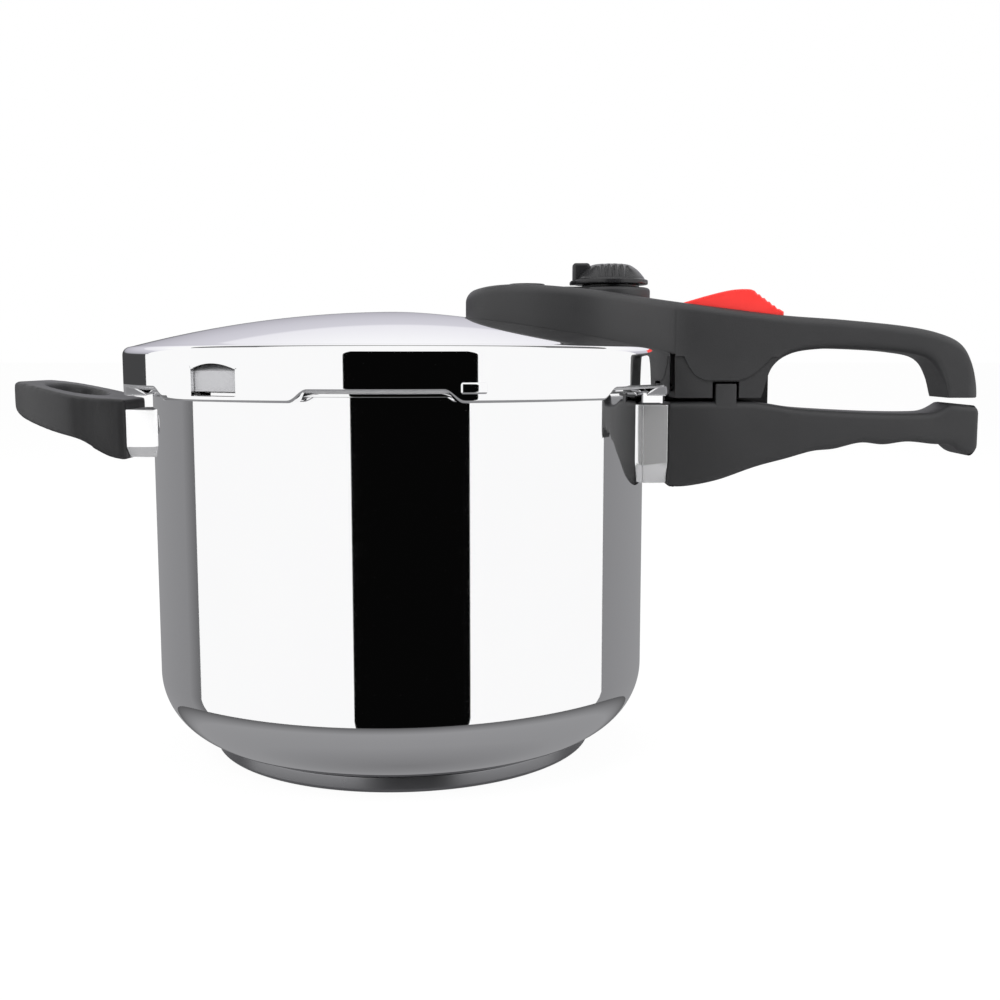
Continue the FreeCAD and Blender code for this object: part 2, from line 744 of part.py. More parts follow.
def valve_washer():
    return tube(valve_x, 0, valve_pad_z, valve_pad_z + 1.0, valve_flange_radius, valve_thread_radius + 0.1)


def valve_nut():
    top = valve_pad_z - lid_wall
    return hexagon(valve_x, 0, top - 4.6, top, 15.0).cut(rod(valve_x, 0, top - 6, top + 1, valve_thread_radius))


def steam_filter_cap():
    top = valve_pad_z - lid_wall - 5.0
    cup = rod(valve_x, 0, cap_bottom_z, top, valve_thread_radius + 1.4)
    cup = cup.cut(rod(valve_x, 0, cap_bottom_z + 1.2, top + 1, valve_thread_radius))
    slots = []
    for i in range(4):
        slot = block(0, 12, -0.8, 0.8, cap_bottom_z + 1.2, valve_thread_end_z)
        slot.rotate(V(0, 0, 0), Z_AXIS, 45 + 90 * i)
        slot.translate(V(valve_x, 0, 0))
        slots.append(slot)
    return without(cup, slots)


def valve_needle():
    z = seat_of_needle_z
    cone = Part.makeCone(0.9, 2.2, 1.6, V(valve_x, 0, z + 0.05))
    rodlet = rod(valve_x, 0, z + 1.6, z + 9.0, 1.9)
    plate = rod(valve_x, 0, spring_seat_z - 1.4, spring_seat_z, valve_chamber_radius - 0.3)
    return joined([cone, rodlet, plate])


def valve_spring():
    return coil(valve_x, 0, spring_seat_z, stem_bottom_z, 3.0, 0.7, 5)


# ---- selector -----------------------------------------------------------------
def selector_collar():
    base = knob_base_z - 0.1
    disc = rod(valve_x, 0, platform_z + 0.2, base, collar_radius)
    sleeve = rod(valve_x, 0, 203.0, platform_z + 0.4, selector_bore_radius - running_gap)
    return joined([disc, sleeve]).cut(rod(valve_x, 0, 200, 215, valve_chamber_radius - 0.2))


def selector_knob():
    base = knob_base_z
    rim = base + knob_rim_height
    outline = [(knob_radius, base), (knob_radius, rim), ((knob_radius - 6.0, rim + 4.2), (8.2, knob_top_z - 1.0)),
               (0, knob_top_z - 0.6)]
    body = spun((0, base), outline)
    body.translate(V(valve_x, 0, 0))
    ribs = []
    for i in range(6):
        rib = block(-knob_radius - 0.2, knob_radius + 0.2, -0.75, 0.75, base + 0.6, knob_top_z - 0.1)
        rib.translate(V(0, (i - 2.5) * 2.7, 0))
        ribs.append(rib)
    bridge = Part.makeCompound(ribs)
    dome_cap = spun((0, base), [(knob_radius - 0.5, base), (knob_radius - 0.5, rim + 1.2),
                                ((knob_radius - 5.4, rim + 5.2), (8.8, knob_top_z)), (0, knob_top_z)])
    ribbed = bridge.common(dome_cap)
    ribbed.rotate(V(0, 0, 0), Z_AXIS, 90)
    ribbed.translate(V(valve_x, 0, 0))
    pointer = block(-knob_radius - 0.6, -9.0, -3.4, 3.4, base, rim + 6.2)
    pointer = rounded(pointer, 1.4, lambda e: e.BoundBox.ZMin > rim + 6.0)
    pointer.translate(V(valve_x, 0, 0))
    foot = block(-knob_radius - 1.6, -knob_radius + 3, -5.0, 5.0, base, base + 1.6)
    foot.translate(V(valve_x, 0, 0))
    stem = rod(valve_x, 0, stem_bottom_z, base + 1, valve_chamber_radius - 0.3)
    return joined([body] + ribbed.Solids + [pointer, foot, stem])


# ---- indicator ------------------------------------------------------------------
collar_rest_z = indicator_pad_z + 2.4
indicator_top_z = 209.6


def indicator_seal():
    low = indicator_pad_z - lid_wall
    body = joined([rod(indicator_x, 0, low - 2.0, low, 5.6), rod(indicator_x, 0, low - 1, indicator_pad_z + 1,
                                                                 indicator_hole_radius),
                   rod(indicator_x, 0, indicator_pad_z, indicator_pad_z + 2.0, 5.6)])
    return body.cut(rod(indicator_x, 0, 170, 200, indicator_pin_radius + 0.3))


def indicator_pin():
    low = indicator_pad_z - lid_wall - 2.0
    stop = rod(indicator_x, 0, low - indicator_travel - 1.9, low - indicator_travel - 0.2, 4.4)
    stem = rod(indicator_x, 0, low - indicator_travel - 1.0, indicator_top_z, indicator_pin_radius)
    collar = rod(indicator_x, 0, collar_rest_z, collar_rest_z + 1.4, 4.2)
    pin = joined([stop, stem, collar])
    return rounded(pin, 0.6, lambda e: e.BoundBox.ZMin > indicator_top_z - 0.01)


def indicator_spring():
    return coil(indicator_x, 0, collar_rest_z + 1.4, 203.0, 3.3, 0.5, 6)


def indicator_cover():
    top = 208.5
    disc = rod(indicator_x, 0, top, top + 1.3, indicator_cover_radius)
    disc = rounded(disc, 0.5, lambda e: e.BoundBox.ZMin > top + 1.2)
    sleeve = rod(indicator_x, 0, 203.0, top + 0.5, 5.9)
    return joined([disc, sleeve]).cut(rod(indicator_x, 0, 200, 215, indicator_pin_radius + 0.3))


# ---- safety valve -----------------------------------------------------------------
safety_seat_z = safety_pad_z + 3.0
safety_top_z = safety_pad_z + 13.0


def safety_valve_body():
    pieces = [rod(safety_x, safety_y, safety_pad_z - 9.0, safety_pad_z + 1, safety_thread_radius),
              rod(safety_x, safety_y, safety_pad_z, safety_pad_z + 2.2, safety_tube_radius + 1.2),
              rod(safety_x, safety_y, safety_pad_z + 1, safety_top_z, safety_tube_radius)]
    return without(joined(pieces), [rod(safety_x, safety_y, 170, 200, 1.6),
                                    rod(safety_x, safety_y, safety_seat_z, 210, safety_bore_radius)])


def safety_valve_nut():
    top = safety_pad_z - lid_wall
    nut = hexagon(safety_x, safety_y, top - 4.0, top, 12.0)
    return nut.cut(rod(safety_x, safety_y, top - 6, top + 1, safety_thread_radius))


def safety_valve_poppet():
    cone = Part.makeCone(1.2, safety_bore_radius - 0.3, 1.6, V(safety_x, safety_y, safety_seat_z + 0.05))
    return joined([cone, rod(safety_x, safety_y, safety_seat_z + 1.6, safety_seat_z + 2.6, safety_bore_radius - 0.3),
                   rod(safety_x, safety_y, safety_seat_z + 2.0, safety_seat_z + 5.0, 1.5)])


def safety_valve_spring():
    return coil(safety_x, safety_y, safety_seat_z + 2.6, safety_top_z - 1.5, 2.4, 0.6, 5)


def safety_valve_cap():
    cap = rod(safety_x, safety_y, safety_top_z - 1.5, safety_top_z + 1.0, safety_bore_radius)
    return cap.cut(rod(safety_x, safety_y, 190, 210, 1.1))


# ---- lock -------------------------------------------------------------------------
def lock_plate():
    foot = block(bolt_tip_radius, stem_x, -bolt_half_width, bolt_half_width, bolt_bottom_z,
                 bolt_bottom_z + bolt_thickness)
    web = block(stem_x - 3.0, stem_x, -bolt_half_width, bolt_half_width, bolt_bottom_z, slider_floor_z - 0.4)
    top = block(stem_x - 3.0, stem_x + 4.2, -bolt_half_width, bolt_half_width, slider_floor_z - 2.6,
                slider_floor_z - 0.4)
    screw_hole = rod(stem_x + slider_screw_offset, 0, 180, 200, 1.2)
    return joined([foot, web, top]).cut(screw_hole)


def slider_button():
    floor = slider_floor_z + slider_gap
    crest = [(169.0, 201.4), (162.0, 205.8), (154.6, 207.2), (141.0, 205.0), (slider_x0, 201.6)]
    body = slab((slider_x0, floor), [(slider_x1, floor), (slider_x1, floor + 0.6), crest], slider_half_width)
    body = rounded(body, 1.2, lambda e: e.BoundBox.ZMax > 200 and e.BoundBox.YLength < 0.01)
    foot = block(stem_x - 3.0, stem_x + 4.2, -bolt_half_width, bolt_half_width, slider_floor_z - 0.4, floor + 1)
    return joined([body, foot]).cut(rod(stem_x + slider_screw_offset, 0, 180, 202.0, 1.2))


def slider_screw():
    x = stem_x + slider_screw_offset
    head = rod(x, 0, slider_floor_z - 4.2, slider_floor_z - 2.6, 2.0)
    return joined([head, rod(x, 0, slider_floor_z - 3, 201.0, 1.2)])


def main():
    os.makedirs("parts", exist_ok=True)
    for make in (pot_body, base_core, base_cap, long_handle_bracket, long_handle_guard, pot_handle,
                 pot_handle_screw, helper_bracket, helper_guard, helper_handle, helper_screw, lid_shell,
                 lid_gasket, handle_shell, handle_bottom_cover, cover_screws, handle_insert, handle_bolt,
                 handle_bolt_washer, valve_body, valve_washer, valve_nut, steam_filter_cap, valve_needle,
                 valve_spring, selector_collar, selector_knob, indicator_seal, indicator_pin, indicator_spring,
                 indicator_cover, safety_valve_body, safety_valve_nut, safety_valve_poppet,
                 safety_valve_spring, safety_valve_cap, lock_plate, slider_button, slider_screw):
        save(make.__name__, make())


main()
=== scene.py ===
import math

import bmesh
import bpy
from bpy.props import FloatProperty, FloatVectorProperty, IntProperty, PointerProperty
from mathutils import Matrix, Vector


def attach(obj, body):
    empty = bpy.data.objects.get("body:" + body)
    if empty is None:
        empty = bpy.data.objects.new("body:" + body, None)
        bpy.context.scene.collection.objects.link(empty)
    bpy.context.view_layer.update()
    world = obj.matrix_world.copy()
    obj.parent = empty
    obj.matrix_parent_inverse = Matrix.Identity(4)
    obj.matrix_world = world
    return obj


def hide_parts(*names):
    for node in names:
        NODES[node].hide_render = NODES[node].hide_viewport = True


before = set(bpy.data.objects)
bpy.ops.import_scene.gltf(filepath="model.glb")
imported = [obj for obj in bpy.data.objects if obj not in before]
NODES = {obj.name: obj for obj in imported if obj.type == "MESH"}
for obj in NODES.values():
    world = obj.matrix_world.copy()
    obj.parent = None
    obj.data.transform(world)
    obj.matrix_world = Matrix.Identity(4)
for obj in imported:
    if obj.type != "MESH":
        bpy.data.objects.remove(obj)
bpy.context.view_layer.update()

bl_info = {
    "name": "Pressure Cooker",
    "version": (1, 0, 0),
    "blender": (4, 5, 0),
    "location": "View3D > Sidebar > Cooker",
    "description": "Builds a stovetop pressure cooker around its CAD frame",
    "category": "Object",
}

MM = 0.001


# ---- sizes and colours ----------------------------------------------------------------
def length(name, description, default):
    return FloatProperty(name=name, description=description, default=default * MM, min=0.0,
                         precision=5, unit="LENGTH", subtype="DISTANCE")


def angle(name, description, degrees):
    return FloatProperty(name=name, description=description, default=math.radians(degrees),
                         subtype="ANGLE")


def colour(name, description, default):
    return FloatVectorProperty(name=name, description=description, default=default, min=0.0,
                               max=1.0, size=3, subtype="COLOR")


class PotSizes(bpy.types.PropertyGroup):
    """Sizes of the pot and its base disc"""
    radius: length("Wall radius", "Outside of the pot's wall", 111.0)
    wall: length("Wall", "Thickness of the pot's sheet", 1.0)
    corner: length("Corner radius", "Round between the wall and the bottom", 30.0)
    rim_z: length("Rim height", "Top of the pot's rim", 163.6)
    flange: length("Flange", "Thickness of the rolled rim and its lugs", 2.0)
    bead: length("Bead", "How far the rim stands out all round", 1.6)
    lug_radius: length("Lug radius", "How far the lugs reach", 118.0)
    lug_angle: angle("Lug half angle", "Half the width of one lug", 10.5)
    lock_gap_angle: angle("Lock gap", "Half the gap that the lock bolt drops into", 2.5)
    base_radius: length("Base radius", "Outside of the base disc", 87.1)
    base_height: length("Base height", "Height of the base disc", 6.7)
    base_wall: length("Base wall", "Sheet of the base's cap", 0.8)
    base_round: length("Base round", "Round under the base disc's edge", 1.8)


class LidSizes(bpy.types.PropertyGroup):
    """Sizes of the lid's sheet"""
    radius: length("Skirt radius", "Outside of the lid's skirt", 123.1)
    wall: length("Wall", "Thickness of the lid's sheet", 1.5)
    fillet: length("Shoulder round", "Round between skirt and dome", 3.6)
    top_z: length("Dome top", "Height of the dome's crown", 196.9)
    rise: length("Dome rise", "How far the dome rises above its edge", 15.9)
    bottom_z: length("Skirt bottom", "Lower edge of the skirt", 159.7)
    tooth_reach: length("Tooth reach", "How far the teeth turn in", 8.1)
    notch_height: length("Notch height", "How far the edge rises between teeth", 4.7)
    notch_flat: angle("Notch flat", "Half the level part of a notch", 11.8)
    notch_half: angle("Notch half angle", "Half of a notch with its ramps", 15.3)
    notch_top_z: length("Notch zone", "Height up to which the skirt shapes itself to a notch", 168.0)
    window_angle: angle("Window place", "Where the skirt's window is", 239.25)
    window_half: angle("Window half angle", "Half the window's width", 5.25)
    window_low_z: length("Window sill", "Lower edge of the window", 161.8)
    window_high_z: length("Window head", "Upper edge of the window", 174.2)
    window_arch: length("Window arch", "How far the window's head drops at its ends", 2.2)
    stop_angle: angle("Stop place", "Where the skirt's stop is pressed out", 287.0)
    seat_blend: length("Seat blend", "Softness of the pressed seat's edge", 0.35)
    steps: IntProperty(name="Steps", description="Steps round the lid", default=720, min=72)


class Finishes(bpy.types.PropertyGroup):
    """Colours of the finishes"""
    steel: colour("Polished steel", "Pot, lid and guards", (0.95, 0.95, 0.955))
    disc: colour("Disc", "Satin steel of the base disc", (0.27, 0.27, 0.28))
    fastener: colour("Fastener steel", "Screws, brackets and springs", (0.62, 0.62, 0.63))
    aluminium: colour("Aluminium", "Core of the base", (0.72, 0.73, 0.74))
    brass: colour("Brass", "Valve bodies and inserts", (0.78, 0.57, 0.25))
    phenolic: colour("Phenolic", "Moulded handles", (0.022, 0.022, 0.023))
    trim: colour("Trim", "Selector and gauge mouldings", (0.012, 0.012, 0.013))
    red: colour("Red", "Lock slider", (0.60, 0.022, 0.018))
    silicone: colour("Silicone", "Sealing rings", (0.30, 0.30, 0.31))


class StageSettings(bpy.types.PropertyGroup):
    """Camera and studio"""
    lens: FloatProperty(name="Lens", description="Focal length in millimetres", default=43.69,
                        min=1.0, subtype="DISTANCE_CAMERA")
    camera_x: FloatProperty(name="Camera X", description="Camera across", default=0.0454,
                            unit="LENGTH")
    camera_y: FloatProperty(name="Camera Y", description="Camera back", default=-0.5638,
                            unit="LENGTH")
    camera_z: length("Camera Z", "Camera height", 176.5)
    tilt: angle("Tilt", "Camera's angle from straight down", 83.29)
    tent: length("Tent radius", "Distance of the studio cards", 1500.0)
    tent_floor: FloatProperty(name="Tent floor", description="Height of the lowest card",
                              default=-0.60, unit="LENGTH")
    fill: FloatProperty(name="Fill", description="Strength of the even studio light", default=0.75,
                        min=0.0)
    key: FloatProperty(name="Key", description="Power of the key lamp in watts", default=26.0,
                       min=0.0, unit="POWER")


# ---- material helpers -----------------------------------------------------------------
def link(tree, source, target):
    tree.links.new(source, target)


def node(tree, kind, **settings):
    made = tree.nodes.new(kind)
    for key, value in settings.items():
        if key in made.inputs:
            made.inputs[key].default_value = value
        else:
            setattr(made, key, value)
    return made


def new_group(name, inputs, outputs):
    group = bpy.data.node_groups.new(name, "ShaderNodeTree")
    for label, default in inputs:
        socket = group.interface.new_socket(label, in_out="INPUT", socket_type="NodeSocketFloat")
        socket.default_value = default
    for label in outputs:
        group.interface.new_socket(label, in_out="OUTPUT", socket_type="NodeSocketFloat")
    return group, group.nodes.new("NodeGroupInput"), group.nodes.new("NodeGroupOutput")


def maths(tree, operation, first, second=0.0, third=0.0):
    made = tree.nodes.new("ShaderNodeMath")
    made.operation = operation
    for socket, value in zip(made.inputs, (first, second, third)):
        if isinstance(value, (int, float)):
            socket.default_value = value
        else:
            link(tree, value, socket)
    return made.outputs[0]


def moulded_grain():
    """Spark-eroded mould texture: fine pits over a slower swell."""
    group, given, result = new_group("Moulded grain", [("Scale", 2600.0), ("Pits", 0.6)], ["Height"])
    place = node(group, "ShaderNodeTexCoord").outputs["Object"]
    fine = node(group, "ShaderNodeTexNoise", Detail=2.0, Roughness=0.6)
    pits = node(group, "ShaderNodeTexVoronoi")
    for texture in (fine, pits):
        link(group, place, texture.inputs["Vector"])
    link(group, given.outputs["Scale"], fine.inputs["Scale"])
    link(group, maths(group, "MULTIPLY", given.outputs["Scale"], 0.7), pits.inputs["Scale"])
    dents = maths(group, "MULTIPLY", pits.outputs["Distance"], given.outputs["Pits"])
    link(group, maths(group, "ADD", fine.outputs["Fac"], dents), result.inputs["Height"])
    return group


def handling_marks():
    """Slow change of gloss where hands and cloths have been."""
    group, given, result = new_group("Handling marks", [("Scale", 30.0), ("Low", 0.3), ("High", 0.4)],
                                     ["Roughness", "Mask"])
    place = node(group, "ShaderNodeTexCoord").outputs["Object"]
    cloud = node(group, "ShaderNodeTexNoise", Detail=5.0, Roughness=0.62)
    link(group, place, cloud.inputs["Vector"])
    link(group, given.outputs["Scale"], cloud.inputs["Scale"])
    spread = node(group, "ShaderNodeMapRange")
    spread.inputs["From Min"].default_value = 0.32
    spread.inputs["From Max"].default_value = 0.68
    link(group, cloud.outputs["Fac"], spread.inputs["Value"])
    link(group, given.outputs["Low"], spread.inputs["To Min"])
    link(group, given.outputs["High"], spread.inputs["To Max"])
    link(group, spread.outputs["Result"], result.inputs["Roughness"])
    link(group, cloud.outputs["Fac"], result.inputs["Mask"])
    return group


def turned_lines():
    """Faint rings left round the axis by spinning and polishing."""
    group, given, result = new_group("Turned lines", [("Scale", 900.0)], ["Height"])
    place = node(group, "ShaderNodeTexCoord").outputs["Object"]
    split = node(group, "ShaderNodeSeparateXYZ")
    link(group, place, split.inputs[0])
    x, y, z = split.outputs
    reach = maths(group, "SQRT", maths(group, "ADD", maths(group, "MULTIPLY", x, x),
                                       maths(group, "MULTIPLY", y, y)))
    turn = maths(group, "MULTIPLY", maths(group, "ARCTAN2", y, x), 0.004)
    joined = node(group, "ShaderNodeCombineXYZ")
    for source, socket in zip((reach, turn, z), joined.inputs):
        link(group, source, socket)
    lines = node(group, "ShaderNodeTexNoise", Detail=3.0)
    link(group, joined.outputs[0], lines.inputs["Vector"])
    link(group, given.outputs["Scale"], lines.inputs["Scale"])
    link(group, lines.outputs["Fac"], result.inputs["Height"])
    return group


EFFECTS = {}


def effect(tree, name, **values):
    if name not in EFFECTS:
        EFFECTS[name] = {"grain": moulded_grain, "marks": handling_marks, "lines": turned_lines}[name]()
    placed = tree.nodes.new("ShaderNodeGroup")
    placed.node_tree = EFFECTS[name]
    for key, value in values.items():
        placed.inputs[key].default_value = value
    return placed


def surface(name, base, metallic, low, high, bump, depth, scale, marks=30.0, tint=0.06, **sockets):
    """A material: colour with slow variation, gloss with handling marks and one bump effect."""
    material = bpy.data.materials.new(name)
    material.use_nodes = True
    tree = material.node_tree
    shader = tree.nodes["Principled BSDF"]
    shader.inputs["Metallic"].default_value = metallic
    for key, value in sockets.items():
        shader.inputs[key.replace("_", " ")].default_value = value
    gloss = effect(tree, "marks", Scale=marks, Low=low, High=high)
    link(tree, gloss.outputs["Roughness"], shader.inputs["Roughness"])
    mix = node(tree, "ShaderNodeMix", data_type="RGBA")
    colour_inputs = [s for s in mix.inputs if s.type == "RGBA"]
    colour_inputs[0].default_value = (*[c * (1 - tint) for c in base], 1)
    colour_inputs[1].default_value = (*[min(1.0, c * (1 + tint)) for c in base], 1)
    link(tree, gloss.outputs["Mask"], mix.inputs[0])
    result = [s for s in mix.outputs if s.type == "RGBA"][0]
    link(tree, result, shader.inputs["Base Color"])
    relief = effect(tree, bump, Scale=scale)
    dent = node(tree, "ShaderNodeBump")
    dent.inputs["Strength"].default_value = 1.0
    dent.inputs["Distance"].default_value = depth
    link(tree, relief.outputs["Height"], dent.inputs["Height"])
    link(tree, dent.outputs["Normal"], shader.inputs["Normal"])
    return material


MATERIALS = {}


def material(name):
    return MATERIALS[name]


def make_materials(finishes):
    MATERIALS.update({
        "mirror_steel": surface("Mirror steel", finishes.steel, 1.0, 0.02, 0.035, "lines", 4e-8, 700.0,
                                marks=14.0, tint=0.012),
        "disc_steel": surface("Disc steel", finishes.disc, 1.0, 0.26, 0.34, "lines", 6e-7, 1800.0,
                              marks=20.0, tint=0.03),
        "guard_steel": surface("Guard steel", finishes.steel, 0.74, 0.07, 0.11, "lines", 1e-7, 900.0,
                               marks=40.0, tint=0.02),
        "fastener_steel": surface("Fastener steel", finishes.fastener, 1.0, 0.22, 0.36, "lines", 2e-6,
                                  2200.0, marks=150.0, tint=0.08),
        "aluminium": surface("Aluminium", finishes.aluminium, 1.0, 0.30, 0.45, "lines", 3e-6, 1500.0,
                             marks=60.0, tint=0.06),
        "brass": surface("Brass", finishes.brass, 1.0, 0.18, 0.32, "lines", 2e-6, 2400.0, marks=200.0,
                         tint=0.10),
        "phenolic": surface("Black phenolic", finishes.phenolic, 0.0, 0.42, 0.54, "grain", 2.2e-5,
                            2300.0, marks=24.0, tint=0.10),
        "trim": surface("Black trim", finishes.trim, 0.0, 0.22, 0.32, "grain", 1.5e-6, 4200.0,
                        marks=90.0, tint=0.10),
        "red": surface("Red slider", finishes.red, 0.0, 0.34, 0.46, "grain", 6e-6, 3600.0,
                       marks=80.0, tint=0.07),
        "silicone": surface("Silicone", finishes.silicone, 0.0, 0.40, 0.55, "grain", 8e-6, 1500.0,
                            marks=50.0, tint=0.08),
    })


# ---- mesh helpers ---------------------------------------------------------------------
def object_mode():
    if bpy.context.object and bpy.context.object.mode != "OBJECT":
        bpy.ops.object.mode_set(mode="OBJECT")


def deselect():
    object_mode()
    bpy.ops.object.select_all(action="DESELECT")


def activate(piece):
    deselect()
    piece.select_set(True)
    bpy.context.view_layer.objects.active = piece


def edit(piece, pick="VERT"):
    activate(piece)
    bpy.ops.object.mode_set(mode="EDIT")
    bpy.ops.mesh.select_mode(type=pick)
    bpy.ops.mesh.select_all(action="DESELECT")
    return bmesh.from_edit_mesh(piece.data)


def pick_faces(piece, wanted):
    mesh = edit(piece, "FACE")
    for face in mesh.faces:
        face.select_set(wanted(face.calc_center_median()))
    bmesh.update_edit_mesh(piece.data)


def pen(name, points):
    """Draws a line of edges in the XZ plane, by extruding one vertex from point to point."""
    deselect()
    bpy.ops.mesh.primitive_plane_add(size=0.001, location=(0, 0, 0))
    piece = bpy.context.object
    piece.name = name
    piece.data.name = name
    bpy.ops.object.mode_set(mode="EDIT")
    bpy.ops.mesh.select_mode(type="VERT")
    bpy.ops.mesh.select_all(action="SELECT")
    bpy.ops.mesh.merge(type="CENTER")
    here = (0.0, 0.0)
    bpy.ops.transform.translate(value=(points[0][0], 0, points[0][1]))
    here = points[0]
    for x, z in points[1:]:
        bpy.ops.mesh.extrude_region_move(
            TRANSFORM_OT_translate={"value": (x - here[0], 0, z - here[1])})
        here = (x, z)
    return piece


def turn_round(steps, start=0.0):
    """Spins the drawn line about the pot's axis into a closed skin."""
    bpy.ops.mesh.select_all(action="SELECT")
    if start:
        bpy.ops.transform.rotate(value=-start, orient_axis="Z", center_override=(0, 0, 0))
        bpy.ops.mesh.select_all(action="SELECT")
    bpy.ops.mesh.spin(steps=steps, angle=2 * math.pi, center=(0, 0, 0), axis=(0, 0, 1))
    bpy.ops.mesh.select_all(action="SELECT")
    bpy.ops.mesh.remove_doubles(threshold=2e-6)
    bpy.ops.mesh.normals_make_consistent(inside=False)
    object_mode()


def arc(x, z, radius, first, last, count):
    """Points round a centre, in degrees from +X towards +Z."""
    points = []
    for i in range(count + 1):
        a = math.radians(first + (last - first) * i / count)
        points.append((x + radius * math.cos(a), z + radius * math.sin(a)))
    return points


def flatten_normals(piece):
    """Keeps flat faces flat to the eye beside their rounded edges."""
    modifier(piece, "WEIGHTED_NORMAL", keep_sharp=True, weight=100)


def done(piece, body, finish, replaced=(), smooth=30.0):
    """Gives a piece its finish, its shading, its body and the nodes it stands for."""
    activate(piece)
    bpy.ops.object.transform_apply(location=True, rotation=True, scale=True)
    piece.data.materials.clear()
    piece.data.materials.append(material(finish))
    bpy.ops.object.shade_smooth_by_angle(angle=math.radians(smooth))
    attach(piece, body)
    if replaced:
        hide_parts(*replaced)
    return piece


def modifier(piece, kind, **settings):
    activate(piece)
    made = piece.modifiers.new(kind.title(), kind)
    for key, value in settings.items():
        setattr(made, key, value)
    bpy.ops.object.modifier_apply(modifier=made.name)


def copy_of(name, source, join=2e-6):
    """A welded copy of a CAD node, to be softened and shaded."""
    deselect()
    piece = bpy.data.objects.new(name, NODES[source].data.copy())
    bpy.context.scene.collection.objects.link(piece)
    piece.data.name = name
    edit(piece)
    bpy.ops.mesh.select_all(action="SELECT")
    bpy.ops.mesh.remove_doubles(threshold=join)
    bpy.ops.mesh.dissolve_degenerate(threshold=1e-7)
    object_mode()
    return piece


# ---- pot ------------------------------------------------------------------------------
def polar(point):
    return math.hypot(point.x, point.y), math.degrees(math.atan2(point.y, point.x)) % 360


def from_nearest(turn, pitch):
    """Angle in degrees from the nearest whole multiple of pitch."""
    return abs((turn + pitch / 2) % pitch - pitch / 2)


class COOKER_OT_pot(bpy.types.Operator):
    """Spin the pot's wall and draw out the lugs of its rim"""
    bl_idname = "cooker.pot"
    bl_label = "Pot"

    def execute(self, context):
        s = context.scene.cooker_pot
        low = s.base_height
        flat = s.radius - s.corner
        under = s.rim_z - s.flange
        edge = s.radius + s.bead
        lip = 0.35 * MM
        support = 0.6 * MM
        points = [(0, low), (flat * 0.5, low), (flat - support, low)]
        points += arc(flat, low + s.corner, s.corner, -90, 0, 28)
        points += [(s.radius, low + s.corner + support), (s.radius, 0.1), (s.radius, under - support),
                   (s.radius, under)]
        points += [(edge - lip, under)] + arc(edge - lip, under + lip, lip, -90, 0, 3)
        points += arc(edge - lip, s.rim_z - lip, lip, 0, 90, 3)
        inner = s.radius - s.wall
        points += [(inner + lip, s.rim_z)] + arc(inner + lip, s.rim_z - lip, lip, 90, 180, 3)
        points += [(inner, 0.1), (inner, low + s.corner + support)]
        points += arc(flat, low + s.corner, s.corner - s.wall, 0, -90, 28)
        points += [(flat * 0.5, low + s.wall), (0, low + s.wall)]
        pot = pen("pot", points)
        turn_round(360, math.radians(0.5))
        lug = math.degrees(s.lug_angle)
        gap = math.degrees(s.lock_gap_angle)

        def on_a_lug(centre):
            reach, turn = polar(centre)
            if reach < edge - 0.05 * MM or centre.z < under + lip:
                return False
            if from_nearest(turn, 360) < gap:
                return False
            return from_nearest(turn, 60) < lug
        pick_faces(pot, on_a_lug)
        bpy.ops.mesh.extrude_region_move()
        grow = s.lug_radius / edge
        bpy.ops.transform.resize(value=(grow, grow, 1), center_override=(0, 0, 0))
        object_mode()
        done(pot, "pot", "mirror_steel", ["pot_body"], 24)
        return {"FINISHED"}


class COOKER_OT_base_disc(bpy.types.Operator):
    """Spin the steel cap under the pot, with its rounded edge"""
    bl_idname = "cooker.base_disc"
    bl_label = "Base disc"

    def execute(self, context):
        s = context.scene.cooker_pot
        r = s.base_round
        wall = s.base_wall
        points = [(0, 0), (s.base_radius * 0.6, 0), (s.base_radius - r - 0.4 * MM, 0)]
        points += arc(s.base_radius - r, r, r, -90, 0, 8)
        points += [(s.base_radius, s.base_height - 0.5 * MM)]
        points += arc(s.base_radius - 0.3 * MM, s.base_height - 0.3 * MM, 0.3 * MM, 0, 90, 3)
        points += [(s.base_radius - wall, s.base_height), (s.base_radius - wall, r)]
        points += arc(s.base_radius - r, r, r - wall, 0, -90, 5)[1:]
        points += [(0, wall)]
        cap = pen("base_disc", points)
        turn_round(288)
        done(cap, "pot", "disc_steel", ["base_cap"])
        return {"FINISHED"}


class COOKER_OT_wall_guards(bpy.types.Operator):
    """Soften the two bent sleeves between the wall and the handles"""
    bl_idname = "cooker.wall_guards"
    bl_label = "Wall guards"

    def execute(self, context):
        for source in ("long_handle_guard", "helper_guard"):
            sleeve = copy_of("sleeve_" + source, source)
            modifier(sleeve, "BEVEL", width=0.35 * MM, segments=3, limit_method="ANGLE",
                     angle_limit=math.radians(35))
            done(sleeve, "pot", "guard_steel", [source], 40)
            flatten_normals(sleeve)
        return {"FINISHED"}


# ---- lid ------------------------------------------------------------------------------
def smooth_step(value):
    t = min(1.0, max(0.0, value))
    return t * t * (3 - 2 * t)


def circle_through(points):
    (x1, z1), (x2, z2), (x3, z3) = points
    a = 2 * (x1 * (z2 - z3) + x2 * (z3 - z1) + x3 * (z1 - z2))
    s1, s2, s3 = x1 * x1 + z1 * z1, x2 * x2 + z2 * z2, x3 * x3 + z3 * z3
    x = (s1 * (z2 - z3) + s2 * (z3 - z1) + s3 * (z1 - z2)) / a
    z = (s1 * (x3 - x2) + s2 * (x1 - x3) + s3 * (x2 - x1)) / a
    return x, z, math.hypot(x1 - x, z1 - z)


SEAT = circle_through([(-0.005, 0.1982), (0.060, 0.1893), (0.124, 0.1776)])
PADS = ((0.096, 0.0, 0.181, 0.0108), (0.0577, 0.0, 0.188, 0.0068), (0.074, 0.019, 0.1852, 0.0082),
        (0.0436, 0.0, 0.1902, 0.0062))


